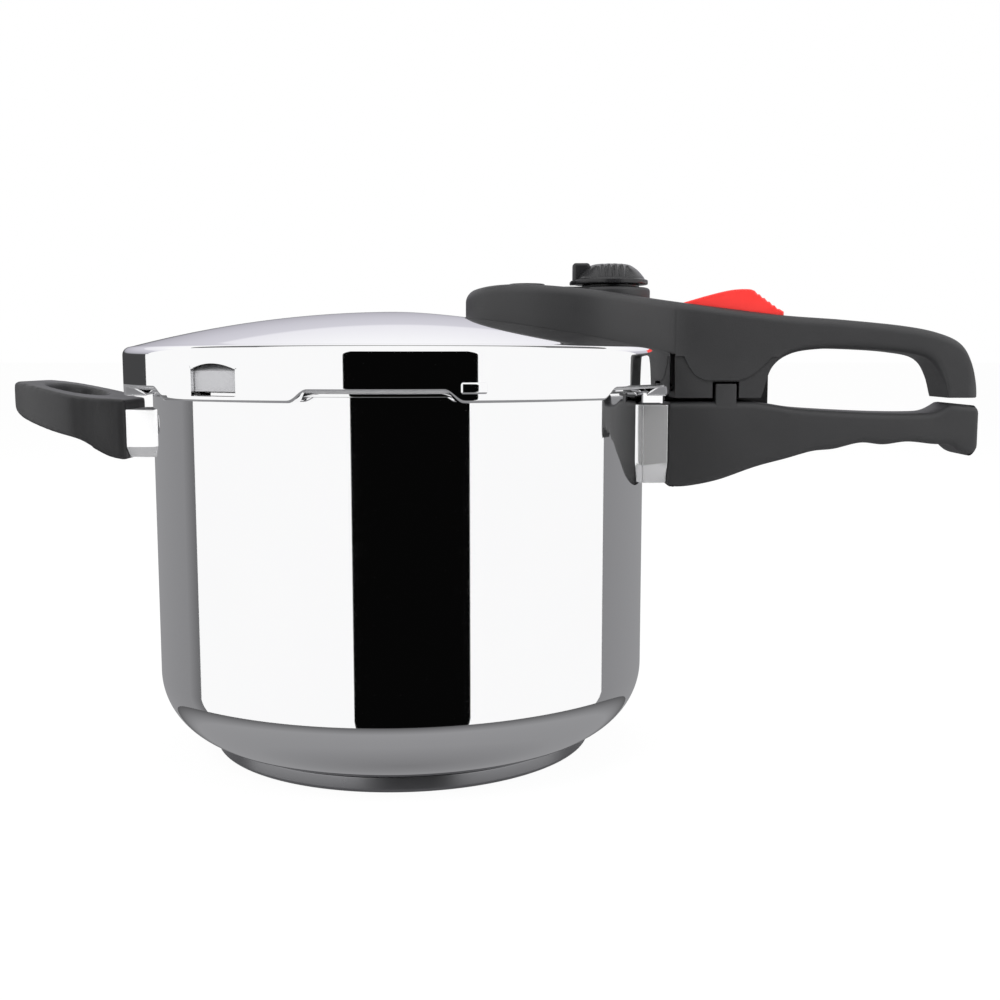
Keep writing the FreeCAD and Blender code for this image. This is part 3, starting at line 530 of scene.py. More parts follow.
BORES = ((0.096, 0, 0.0055), (0.0577, 0, 0.0036), (0.074, 0.019, 0.0045), (0.0436, 0, 0.0027))


def seat_z(x):
    centre_x, centre_z, radius = SEAT
    return centre_z + math.sqrt(radius * radius - (x - centre_x) ** 2)


def soft_lower(a, b, blend):
    """The lower of two heights, with the crease between them rounded."""
    t = max(0.0, 1 - abs(a - b) / (4 * blend))
    return min(a, b) - t * t * blend


# where the lid's dome starts above its skirt, and the middle of the round between them
CROWN_Z = 0.176
SHOULDER_REACH = 0.1195
SHOULDER_Z = 0.1774


class COOKER_OT_lid(bpy.types.Operator):
    """Spin the lid, press its seat, shape the teeth, open the window and press out the stop"""
    bl_idname = "cooker.lid"
    bl_label = "Lid"

    def execute(self, context):
        s = context.scene.cooker_lid
        edge = s.radius - s.fillet
        ball = (edge ** 2 + s.rise ** 2) / (2 * s.rise)
        centre = s.top_z - ball
        shoulder = s.top_z - s.rise - s.fillet
        inner = s.radius - s.wall
        tip = inner - s.tooth_reach

        def dome(reach, drop):
            return centre + math.sqrt((ball - drop) ** 2 - reach ** 2)
        rings = 62
        outer_reaches = [(edge - 1.0 * MM) * i / rings for i in range(rings + 1)]
        points = [(reach, dome(reach, 0)) for reach in outer_reaches]
        points += arc(edge, shoulder, s.fillet, 74, 0, 10)
        rows = [176.6, 175.2, s.window_high_z / MM, 172.4, 170.2, s.notch_top_z / MM, 166.4, 165.0,
                163.6, s.window_low_z / MM]
        points += [(s.radius, row * MM) for row in rows]
        heel = 1.3 * MM
        points += arc(s.radius - heel, s.bottom_z + heel, heel, 0, -90, 5)
        round_tip = 0.5 * MM
        points += [(s.radius - 3.5 * MM, s.bottom_z), (tip + 2 * MM, s.bottom_z)]
        points += arc(tip + round_tip, s.bottom_z + round_tip, round_tip, -90, -180, 3)
        points += arc(tip + round_tip, s.bottom_z + s.wall - round_tip, round_tip, 180, 90, 3)
        points += [(inner - 1.0 * MM, s.bottom_z + s.wall),
                   (inner - 0.2 * MM, s.bottom_z + s.wall + 0.1 * MM)]
        points += [(inner, row * MM) for row in reversed(rows)]
        points += arc(edge, shoulder, s.fillet - s.wall, 0, 74, 4)
        inner_reaches = [(edge - 1.5 * MM) * i / 30 for i in range(31)]
        points += [(reach, dome(reach, s.wall)) for reach in reversed(inner_reaches)]
        lid = pen("lid", points)
        turn_round(s.steps)
        self.window(lid, s)
        self.shape(lid, s, dome, inner)
        self.bore(lid)
        done(lid, "lid", "mirror_steel", ["lid_shell"], 32)
        self.stop(s)
        return {"FINISHED"}

    def shape(self, lid, s, dome, inner):
        """Moves the sheet down to its seat and pads, and its edge up into the notches."""
        flat = math.degrees(s.notch_flat)
        half = math.degrees(s.notch_half)
        squeeze = (s.notch_top_z - s.bottom_z - s.notch_height) / (s.notch_top_z - s.bottom_z)
        window = math.degrees(s.window_angle)
        reach_of_window = math.degrees(s.window_half) + 0.01
        for vertex in lid.data.vertices:
            point = vertex.co
            reach, turn = polar(point)
            if point.z > CROWN_Z:
                drop = 0.0
                if reach < SHOULDER_REACH and point.z < dome(reach, s.wall / 2):
                    drop = s.wall
                round_the_edge = math.hypot(reach - SHOULDER_REACH, point.z - SHOULDER_Z)
                if reach >= SHOULDER_REACH and round_the_edge < s.fillet - s.wall / 2:
                    drop = s.wall
                if point.x > -0.03:
                    point.z = soft_lower(point.z, seat_z(point.x) - drop, s.seat_blend)
                for x, y, z, radius in PADS:
                    away = math.hypot(point.x - x, point.y - y)
                    if away < radius + drop:
                        point.z = min(point.z, z - drop)
            if point.z < s.notch_top_z:
                f = smooth_step((half - from_nearest(turn - 30, 60)) / (half - flat))
                lower = s.notch_top_z - (s.notch_top_z - point.z) * squeeze
                point.z += f * (lower - point.z)
                if reach < inner - 0.05 * MM:
                    wide = reach + f * max(0.0, inner - 0.5 * MM - reach)
                    point.x *= wide / reach
                    point.y *= wide / reach
            elif abs(point.z - s.window_high_z) < 0.02 * MM and abs(turn - window) < reach_of_window:
                point.z -= s.window_arch * ((turn - window) / reach_of_window) ** 2

    def window(self, lid, s):
        window = math.degrees(s.window_angle)
        half = math.degrees(s.window_half)

        def inside(centre):
            reach, turn = polar(centre)
            return (abs(turn - window) < half and reach > 0.12 and
                    s.window_low_z < centre.z < s.window_high_z)
        pick_faces(lid, inside)
        bpy.ops.mesh.delete(type="FACE")
        self.join_rims()
        object_mode()

    def bore(self, lid):
        """Opens the four holes under the handle's head and the slot for the lock bolt."""
        for x, y, radius in BORES:
            def inside(centre):
                return centre.z > 0.17 and math.hypot(centre.x - x, centre.y - y) < radius
            pick_faces(lid, inside)
            bpy.ops.mesh.delete(type="FACE")
            self.join_rims()
            mesh = edit(lid)
            for vertex in mesh.verts:
                away = math.hypot(vertex.co.x - x, vertex.co.y - y)
                if vertex.co.z > 0.17 and away < radius * 1.25:
                    grow = max(1.0, radius / max(away, 1e-5))
                    vertex.co.x = x + (vertex.co.x - x) * grow
                    vertex.co.y = y + (vertex.co.y - y) * grow
            bmesh.update_edit_mesh(lid.data)

        def in_slot(centre):
            reach, turn = polar(centre)
            return reach > 0.12 and from_nearest(turn, 360) < 1.6 and 0.1618 < centre.z < 0.1636
        pick_faces(lid, in_slot)
        bpy.ops.mesh.delete(type="FACE")
        self.join_rims()
        bpy.ops.mesh.select_all(action="SELECT")
        bpy.ops.mesh.normals_make_consistent(inside=False)
        object_mode()

    def join_rims(self):
        """Closes the sheet's thickness round a hole that was opened in both of its skins."""
        bpy.ops.mesh.select_mode(type="EDGE")
        bpy.ops.mesh.select_all(action="DESELECT")
        bpy.ops.mesh.select_non_manifold()
        bpy.ops.mesh.bridge_edge_loops()

    def stop(self, s):
        """The small stop that is pressed out of the skirt."""
        deselect()
        bpy.ops.mesh.primitive_cube_add(size=1, location=(s.radius - 0.2 * MM, 0, 0.1652),
                                        scale=(2.2 * MM, 10.2 * MM, 4.3 * MM))
        stop = bpy.context.object
        stop.name = "stop"
        bpy.ops.object.transform_apply(location=True, rotation=True, scale=True)
        modifier(stop, "BEVEL", width=0.9 * MM, segments=5, limit_method="NONE")
        edit(stop)
        bpy.ops.mesh.select_all(action="SELECT")
        bpy.ops.mesh.subdivide(number_cuts=3)
        object_mode()
        for vertex in stop.data.vertices:
            x, y, z = vertex.co
            turn = y / s.radius + s.stop_angle
            vertex.co = (x * math.cos(turn), x * math.sin(turn), z)
        done(stop, "lid", "mirror_steel", (), 60)


class COOKER_OT_seal(bpy.types.Operator):
    """Smooth the silicone ring that shows in the skirt's window"""
    bl_idname = "cooker.seal"
    bl_label = "Sealing ring"

    def execute(self, context):
        ring = pen("seal", [(r * MM, z * MM) for r, z in (
            (106.5, 163.6), (121.3, 163.6), (121.3, 171.4), (117.9, 174.4), (106.5, 176.0),
            (106.5, 173.0), (116.3, 172.0), (116.3, 167.2), (106.5, 166.6))])
        turn_round(240)
        done(ring, "seal_ring", "silicone", ["lid_gasket"], 40)
        return {"FINISHED"}


# ---- handles --------------------------------------------------------------------------
def smooth_line(points, per=14):
    """Points along a curve that passes through the given ones."""
    ends = [2 * Vector(points[0]) - Vector(points[1])] + [Vector(p) for p in points]
    ends.append(2 * ends[-1] - ends[-2])
    line = []
    for a, b, c, d in zip(ends, ends[1:], ends[2:], ends[3:]):
        for i in range(per):
            t = i / per
            line.append(0.5 * (2 * b + (c - a) * t + (2 * a - 5 * b + 4 * c - d) * t * t
                               + (3 * b - a - 3 * c + d) * t ** 3))
    return [(p.x, p.y) for p in line] + [tuple(points[-1])]


def height_on(line):
    """Reads a line of points, ordered by x, as a height."""
    def height(x):
        if x <= line[0][0]:
            return line[0][1]
        for (x0, z0), (x1, z1) in zip(line, line[1:]):
            if x <= x1:
                return z0 + (z1 - z0) * (x - x0) / (x1 - x0) if x1 > x0 else z1
        return line[-1][1]
    return height


def bezier(points, count):
    p0, p1, p2, p3 = [Vector(p) for p in points]
    line = []
    for i in range(count + 1):
        t = i / count
        u = 1 - t
        line.append(tuple(u ** 3 * p0 + 3 * u * u * t * p1 + 3 * u * t * t * p2 + t ** 3 * p3))
    return line


def with_normals(outline):
    """Half an outline in plan, from its tip to its end, with each point's inward direction."""
    made = []
    for i, here in enumerate(outline):
        before = Vector(outline[max(0, i - 1)])
        after = Vector(outline[min(len(outline) - 1, i + 1)])
        if i == 0 and here[1] == 0:
            before = Vector((after.x, -after.y))
        along = (after - before).normalized()
        made.append((here[0], here[1], along.y, -along.x))
    return made


def rounded_loft(name, outline, top, bottom, top_round, bottom_round):
    """A solid over a plan outline, between two heights in mm, with rounded edges all round."""
    ribs = with_normals(outline)
    count = 6
    slope = [math.radians(90 * i / count) for i in range(count + 1)]
    section = [("bottom", 1 - math.sin(a)) for a in slope] + [("side", 0.34), ("side", 0.67)]
    section += [("top", 1 - math.cos(a)) for a in slope]
    half = len(section)
    rows = 2 * half
    deselect()
    bpy.ops.mesh.primitive_grid_add(x_subdivisions=len(ribs) - 1, y_subdivisions=rows, size=1)
    piece = bpy.context.object
    piece.name = name
    piece.data.name = name

    def place(i, j):
        mirror = -1 if j < half or j == rows else 1
        k = j if j < half else rows - 1 - j
        if j == rows:
            k = 0
        x, w, nx, ny = ribs[i]
        kind, share = section[k]
        low_round = bottom_round(x)
        if kind == "side":
            low = bottom(x) + low_round
            high = top(x) - top_round
            return x, mirror * w, low + (high - low) * share
        size = low_round if kind == "bottom" else top_round
        inset = size * share
        drop = size - math.sqrt(max(0.0, size * size - (size - inset) ** 2))
        x += nx * inset
        w = max(0.0, w + ny * inset)
        return x, mirror * w, bottom(x) + drop if kind == "bottom" else top(x) - drop
    for vertex in piece.data.vertices:
        i = round((vertex.co.x + 0.5) * (len(ribs) - 1))
        j = round((vertex.co.y + 0.5) * rows)
        vertex.co = [v * MM for v in place(i, j)]
    edit(piece)
    bpy.ops.mesh.select_all(action="SELECT")
    bpy.ops.mesh.remove_doubles(threshold=1e-6)
    bpy.ops.mesh.select_all(action="SELECT")
    bpy.ops.mesh.fill_holes(sides=0)
    bpy.ops.mesh.select_all(action="SELECT")
    bpy.ops.mesh.normals_make_consistent(inside=False)
    object_mode()
    return piece


def brick(low, high, bevel=0.0):
    """A block between two corners in mm, with softened edges."""
    deselect()
    middle = [(a + b) / 2 * MM for a, b in zip(low, high)]
    size = [(b - a) * MM for a, b in zip(low, high)]
    bpy.ops.mesh.primitive_cube_add(size=1, location=middle, scale=size)
    piece = bpy.context.object
    bpy.ops.object.transform_apply(location=True, rotation=True, scale=True)
    if bevel:
        modifier(piece, "BEVEL", width=bevel * MM, segments=3, limit_method="NONE")
    return piece


def drum(x, y, low, high, radius, bevel=0.0):
    """An upright round in mm, with its upper edge softened."""
    deselect()
    bpy.ops.mesh.primitive_cylinder_add(vertices=96, radius=radius * MM, depth=(high - low) * MM,
                                        location=(x * MM, y * MM, (low + high) / 2 * MM))
    piece = bpy.context.object
    bpy.ops.object.transform_apply(location=True, rotation=True, scale=True)
    if bevel:
        modifier(piece, "BEVEL", width=bevel * MM, segments=4, limit_method="ANGLE")
    return piece


def plate(points, low, high):
    """An outline in XZ, in mm, pushed out between two places across the handle."""
    piece = pen("plate", [(x * MM, z * MM) for x, z in points + points[:1]])
    bpy.ops.mesh.select_all(action="SELECT")
    bpy.ops.mesh.remove_doubles(threshold=1e-6)
    bpy.ops.mesh.select_all(action="SELECT")
    bpy.ops.transform.translate(value=(0, low * MM, 0))
    bpy.ops.mesh.edge_face_add()
    bpy.ops.mesh.extrude_region_move(TRANSFORM_OT_translate={"value": (0, (high - low) * MM, 0)})
    bpy.ops.mesh.select_all(action="SELECT")
    bpy.ops.mesh.normals_make_consistent(inside=False)
    object_mode()
    return piece


def combine(piece, operation, tools):
    """Adds or cuts with each tool in turn, and removes the tools."""
    for tool in tools:
        modifier(piece, "BOOLEAN", operation=operation, object=tool, solver="EXACT")
        bpy.data.objects.remove(tool)


def spread(first, last, pitch):
    count = max(1, round((last - first) / pitch))
    return [first + (last - first) * i / count for i in range(count + 1)]


HEAD_TIP, HEAD_WIDE, HEAD_HALF, GRIP_HALF, GRIP_END = 29.7, 78.0, 34.0, 13.0, 262.5
LEG_X, PARTING_Z = 124.4, 158.2
TOP_LINE = smooth_line([(24.2, 198.4), (28.4, 204.6), (38.0, 207.6), (54.0, 208.3), (76.0, 206.7),
                        (114.0, 202.7), (150.0, 198.2), (174.0, 195.3), (200.0, 193.4), (228.0, 190.6),
                        (244.0, 187.4), (254.0, 182.6), (259.0, 174.4), (262.5, 163.0)])
LOOP_LINE = smooth_line([(163.6, 158.2), (168.6, 171.6), (177.0, 178.0), (190.0, 180.2), (206.0, 180.2),
                         (226.0, 178.8), (239.0, 175.8), (245.6, 167.4), (248.6, 158.2)])
GRIP_TOP = [(121.6, 156.5), (161.0, 156.5)] + smooth_line(
    [(161.0, 156.5), (171.5, 154.9), (184.0, 153.2), (214.0, 151.6), (236.0, 151.3), (244.0, 152.2),
     (250.6, 155.8)]) + [(262.5, 154.6)]
GRIP_BOTTOM = smooth_line(
    [(121.6, 117.6), (131.0, 117.8), (145.0, 120.6), (162.0, 126.6), (176.0, 130.4),
     (188.0, 133.8), (198.0, 134.9), (210.0, 137.7), (220.5, 136.9), (231.5, 138.2),
     (243.0, 137.1), (251.0, 136.6), (255.6, 133.2), (259.4, 131.9), (262.5, 133.4)])


def head_outline(inset, end):
    """The upper handle's half plan: a spoon that narrows to the grip."""
    tip = HEAD_TIP + inset
    wide = HEAD_HALF - inset
    narrow = GRIP_HALF - inset
    outline = []
    for i in range(30):
        turn = math.radians(90 * i / 30)
        outline.append((HEAD_WIDE - (HEAD_WIDE - tip) * math.cos(turn), wide * math.sin(turn)))
    side = bezier([(HEAD_WIDE, wide), (104, wide), (106, narrow), (132, narrow)], 40)
    outline += [p for p in side if p[0] < LEG_X - 0.4]
    if end < LEG_X:
        outline = [p for p in outline if p[0] < end - 0.3]
        last = outline[-1][1]
        return outline + [(end, last)]
    at_leg = height_on(side)(LEG_X)
    outline += [(LEG_X - 0.02, at_leg), (LEG_X + 0.02, at_leg)]
    outline += [p for p in side if p[0] > LEG_X + 0.4]
    outline += [(x, narrow) for x in spread(132.0, 162.0, 1.5)[1:] + spread(162.0, 172.0, 0.4)[1:]]
    outline += [(x, narrow) for x in spread(172.0, 241.0, 1.5)[1:] + spread(241.0, 248.58, 0.4)[1:]]
    outline += [(248.62, narrow)] + [(x, narrow) for x in spread(248.62, end - 5.0, 1.0)[1:]]
    outline += [(x, w) for x, w in arc(end - 5.0, narrow - 5.0, 5.0, 90, 0, 8)[1:]]
    return outline + [(end, 4.0)]


def head_underside(x):
    if x < LEG_X:
        return seat_z(x * MM) / MM + 0.3
    if x < LOOP_LINE[0][0] or x > LOOP_LINE[-1][0]:
        return PARTING_Z
    return height_on(LOOP_LINE)(x)


def grip_softness(x):
    """Edge round under the grip: full where fingers go, small elsewhere."""
    return 0.7 + 3.0 * smooth_step((x - 163.0) / 6.0) * smooth_step((248.6 - x) / 6.0)


class COOKER_OT_long_grips(bpy.types.Operator):
    """Loft the lid's handle and the pot's grip, and cut what fits into them"""
    bl_idname = "cooker.long_grips"
    bl_label = "Long handles"

    def execute(self, context):
        top = height_on(TOP_LINE)
        upper = rounded_loft("lid_handle", head_outline(0.0, GRIP_END), top, head_underside, 4.0,
                             grip_softness)
        hollow = rounded_loft("hollow", head_outline(2.8, 118.0), lambda x: min(top(x) - 3.2, 203.6),
                              lambda x: 150.0, 1.0, lambda x: 0.5)
        curve = [(123.4, 177.0), (128.5, 177.0)] + smooth_line(
            [(128.5, 177.0), (130.6, 172.6), (134.2, 168.2), (138.4, 166.2)], 6)[1:]
        curve += smooth_line([(153.0, 166.2), (157.6, 167.6), (162.6, 171.2), (168.0, 176.6)], 6)
        curve += [(172.0, 176.6), (172.0, 150.0), (123.4, 150.0)]
        combine(upper, "DIFFERENCE", [plate(curve, -20.0, -12.3), plate(curve, 12.3, 20.0)])
        combine(upper, "UNION", [self.platform()])
        tools = [hollow,
                 brick((120.2, -9.0, 194.0), (177.0, 9.0, 230.0)),
                 brick((141.6, -30.0, 150.0), (153.7, 0.0, 165.6)),
                 plate([(116.0, 161.0), (141.2, 161.0), (141.2, 189.0), (145.6, 189.0), (145.6, 194.6),
                        (129.6, 194.6), (129.6, 164.2), (116.0, 164.2)], -3.5, 3.5),
                 drum(96.0, 0.0, 190.0, 230.0, 8.1), drum(57.7, 0.0, 190.0, 230.0, 6.0)]
        combine(upper, "DIFFERENCE", tools)
        done(upper, "lid", "phenolic", ["handle_shell"], 32)
        self.lower_grip()
        return {"FINISHED"}

    def platform(self):
        """The raised pad under the selector."""
        pad = drum(96.0, 0.0, 198.0, 207.9, 18.0, 1.6)
        front = drum(61.7, 0.0, 198.0, 207.9, 14.0, 1.6)
        bridge = brick((61.7, -14.0, 198.0), (96.0, 14.0, 207.88))
        combine(pad, "UNION", [bridge, front])
        return pad

    def lower_grip(self):
        narrow = GRIP_HALF
        outline = [(121.6, 6.0)] + arc(122.8, narrow - 1.2, 1.2, 180, 90, 4)
        outline += [(x, narrow) for x in spread(122.8, 261.3, 1.4)[1:]]
        outline += arc(261.3, narrow - 1.2, 1.2, 90, 0, 4)[1:] + [(262.5, 6.0)]
        lower = rounded_loft("pot_grip", outline, height_on(GRIP_TOP), height_on(GRIP_BOTTOM), 3.4,
                             lambda x: 3.4)
        combine(lower, "UNION", [brick((143.2, -12.6, 148.0), (152.5, -0.2, 164.5), 0.5)])
        combine(lower, "DIFFERENCE", [drum(136.0, 0.0, 100.0, 124.0, 4.7)])
        done(lower, "pot", "phenolic", ["pot_handle"], 32)


class COOKER_OT_helper_grip(bpy.types.Operator):
    """Round the helper handle's moulded edges"""
    bl_idname = "cooker.helper_grip"
    bl_label = "Helper handle"

    def execute(self, context):
        ear = copy_of("helper_grip", "helper_handle")
        modifier(ear, "REMESH", mode="VOXEL", voxel_size=0.75 * MM, use_smooth_shade=True)
        modifier(ear, "SMOOTH", factor=0.5, iterations=22)
        done(ear, "pot", "phenolic", ["helper_handle"], 60)
        ear.visible_glossy = False
        return {"FINISHED"}


# ---- selector, gauge and lock ---------------------------------------------------------
KNOB_X, KNOB_LOW, KNOB_RADIUS = 96.0, 209.4, 17.0


class COOKER_OT_selector(bpy.types.Operator):
    """Turn the selector's knob with its grooves and pointer, and soften its collar"""
    bl_idname = "cooker.selector"
    bl_label = "Selector"

    def execute(self, context):
        low = KNOB_LOW
        points = [(0.0, low), (KNOB_RADIUS - 0.4, low)]
        points += arc(KNOB_RADIUS - 0.4, low + 0.4, 0.4, -90, 0, 3)
        points += arc(KNOB_RADIUS - 0.5, low + 1.6, 0.5, 0, 80, 3)
        points += [(15.6, low + 2.4)]
        crown = smooth_line([(15.6, low + 2.4), (14.9, low + 3.6), (12.4, low + 6.4), (9.6, low + 8.4),
                             (7.6, low + 9.1), (6.0, low + 9.3)], 7)
        points += crown[1:] + [(4.0, low + 9.3), (2.0, low + 9.3), (0.0, low + 9.3)]
        knob = pen("knob", [(x * MM, z * MM) for x, z in points])
        turn_round(360)
        for vertex in knob.data.vertices:
            self.groove(vertex)
            vertex.co.x += KNOB_X * MM
        left = KNOB_X - KNOB_RADIUS
        pointer = brick((left - 0.4, -3.6, low + 0.2), (KNOB_X - 9.6, 3.6, low + 9.7), 1.3)
        waist = brick((left + 0.8, -2.2, low + 2.0), (KNOB_X - 4.0, 2.2, low + 8.6), 0.6)
        foot = brick((left - 1.5, -5.0, low), (left + 3.0, 5.0, low + 1.6), 0.4)
        combine(knob, "UNION", [pointer, waist, foot])
        done(knob, "selector", "trim", ["selector_knob"], 50)
        collar = copy_of("collar", "selector_collar")
        modifier(collar, "BEVEL", width=0.25 * MM, segments=2, limit_method="ANGLE",
                 angle_limit=math.radians(40))
        done(collar, "selector", "trim", ["selector_collar"], 35)
        return {"FINISHED"}

    def groove(self, vertex):
        """Presses the finger grooves across the crown."""
        x, y, z = (v / MM for v in vertex.co)
        if z < KNOB_LOW + 3.0 or abs(x) > 7.6:
            return
        reach = math.hypot(x, y)
        wave = (0.5 - 0.5 * math.cos(2 * math.pi * (x + 7.6) / 3.04)) ** 1.5
        depth = wave * smooth_step((reach - 5.0) / 3.0) * smooth_step((abs(y) - 2.0) / 3.0)
        vertex.co.z -= depth * 0.4 * MM
        vertex.co.y *= 1 - depth * 0.8 / max(reach, 1.0)


class COOKER_OT_gauge(bpy.types.Operator):
    """Soften the pressure gauge's cover and pin"""
    bl_idname = "cooker.gauge"
    bl_label = "Pressure gauge"

    def execute(self, context):
        cover = copy_of("gauge_cover", "indicator_cover")
        done(cover, "lid", "trim", ["indicator_cover"], 35)
        pin = copy_of("gauge_pin", "indicator_pin")
        done(pin, "indicator", "red", ["indicator_pin"], 35)
        return {"FINISHED"}


class COOKER_OT_lock_slider(bpy.types.Operator):
    """Draw the red slider's wedge with its thumb ribs, and round it"""
    bl_idname = "cooker.lock_slider"
    bl_label = "Lock slider"

    def execute(self, context):
        low = 194.4
        line = [(127.8, low), (127.8, 200.9)]
        line += smooth_line([(127.8, 200.9), (140.0, 204.4), (150.0, 206.7), (157.6, 207.1),
                             (160.6, 206.4)], 5)[1:]
        run, fall = 11.4, 8.2
        ribs = 5
        for i in range(ribs):
            start = (160.6 + run * i / ribs, 206.4 - fall * i / ribs)
            line += [(start[0] + run / ribs * 0.55, start[1] - fall / ribs * 0.95),
                     (start[0] + run / ribs, start[1] - fall / ribs)]
        line += [(174.0, 197.0), (174.0, low)]
        slider = plate(line, -8.6, 8.6)
        slider.name = "slider"
        modifier(slider, "BEVEL", width=0.9 * MM, segments=4, limit_method="ANGLE",
                 angle_limit=math.radians(60))
        foot = brick((137.7, -3.0, 193.7), (144.7, 3.0, 195.6))
        combine(slider, "UNION", [foot])
        done(slider, "lock", "red", ["slider_button"], 32)
        return {"FINISHED"}


SMALL_FINISHES = {
    "fastener_steel": ("long_handle_bracket", "pot_handle_screw", "helper_bracket", "helper_screw",
                       "cover_screws", "handle_bolt", "handle_bolt_washer", "valve_nut", "valve_needle",
                       "valve_spring", "indicator_spring", "safety_valve_nut", "safety_valve_poppet",
                       "safety_valve_spring", "lock_plate", "slider_screw", "steam_filter_cap"),
    "brass": ("valve_body", "handle_insert", "safety_valve_body", "safety_valve_cap"),
    "aluminium": ("base_core",),
    "silicone": ("valve_washer", "indicator_seal"),
    "phenolic": ("handle_bottom_cover",),
}


class COOKER_OT_small_parts(bpy.types.Operator):
    """Give the brackets, screws, valves and springs their finishes"""
    bl_idname = "cooker.small_parts"
    bl_label = "Small parts"

    def execute(self, context):
        for finish, names in SMALL_FINISHES.items():
            for name in names:
                for holder in NODES[name].material_slots:
                    holder.material = material(finish)
        return {"FINISHED"}


# ---- stage ----------------------------------------------------------------------------
def glow(name, stops, axis):
    """A card's own light, graded by height or by distance."""
    made = bpy.data.materials.new(name)
    made.use_nodes = True
    tree = made.node_tree
    tree.nodes.clear()
    out = tree.nodes.new("ShaderNodeOutputMaterial")
    shine = tree.nodes.new("ShaderNodeEmission")
    place = node(tree, "ShaderNodeTexCoord").outputs["Object"]
    split = node(tree, "ShaderNodeSeparateXYZ")
    link(tree, place, split.inputs[0])
    if axis == "R":
        x, y = split.outputs[0], split.outputs[1]
        value = maths(tree, "SQRT", maths(tree, "ADD", maths(tree, "MULTIPLY", x, x),
                                          maths(tree, "MULTIPLY", y, y)))
    else:
        value = split.outputs["XYZ".index(axis)]
    low, high = stops[0][0], stops[-1][0]
    spread = node(tree, "ShaderNodeMapRange")
    spread.inputs["From Min"].default_value = low
    spread.inputs["From Max"].default_value = high
    link(tree, value, spread.inputs["Value"])
    ramp = tree.nodes.new("ShaderNodeValToRGB")
    elements = ramp.color_ramp.elements
    while len(elements) < len(stops):
        elements.new(0.5)
    for element, (where, shade) in zip(elements, stops):
        element.position = (where - low) / (high - low)
        element.color = (*shade, 1)
    link(tree, spread.outputs["Result"], ramp.inputs["Fac"])
    link(tree, ramp.outputs["Color"], shine.inputs["Color"])
    link(tree, shine.outputs[0], out.inputs["Surface"])
    return made


def card(name, radius, first, last, low, high, finish):
    """A curved card; its angles run from the viewer's side towards the long handle."""
    deselect()
    bpy.ops.mesh.primitive_cylinder_add(vertices=360, radius=radius, depth=high - low,
                                        end_fill_type="NOTHING", location=(0, 0, (low + high) / 2))
    made = bpy.context.object
    made.name = name
    bpy.ops.object.transform_apply(location=True, rotation=True, scale=True)

    def outside(centre):
        turn = math.degrees(math.atan2(centre.x, -centre.y))
        middle = (first + last) / 2
        away = (turn - middle + 180) % 360 - 180
        return abs(away) > (last - first) / 2
    pick_faces(made, outside)
    bpy.ops.mesh.delete(type="FACE")
    object_mode()
    made.data.materials.append(finish)
    unseen(made)
    return made


def unseen(made):
    """A stage piece that only shows in polished surfaces."""
    made.visible_camera = False
    made.visible_diffuse = False
    made.visible_shadow = False
    made.visible_transmission = False


def path_mask(tree):
    """One for rays that should see a plain white studio."""
    path = tree.nodes.new("ShaderNodeLightPath")
    seen = maths(tree, "ADD", path.outputs["Is Camera Ray"], path.outputs["Is Glossy Ray"])
    return maths(tree, "MINIMUM", maths(tree, "ADD", seen, path.outputs["Is Transmission Ray"]), 1.0)


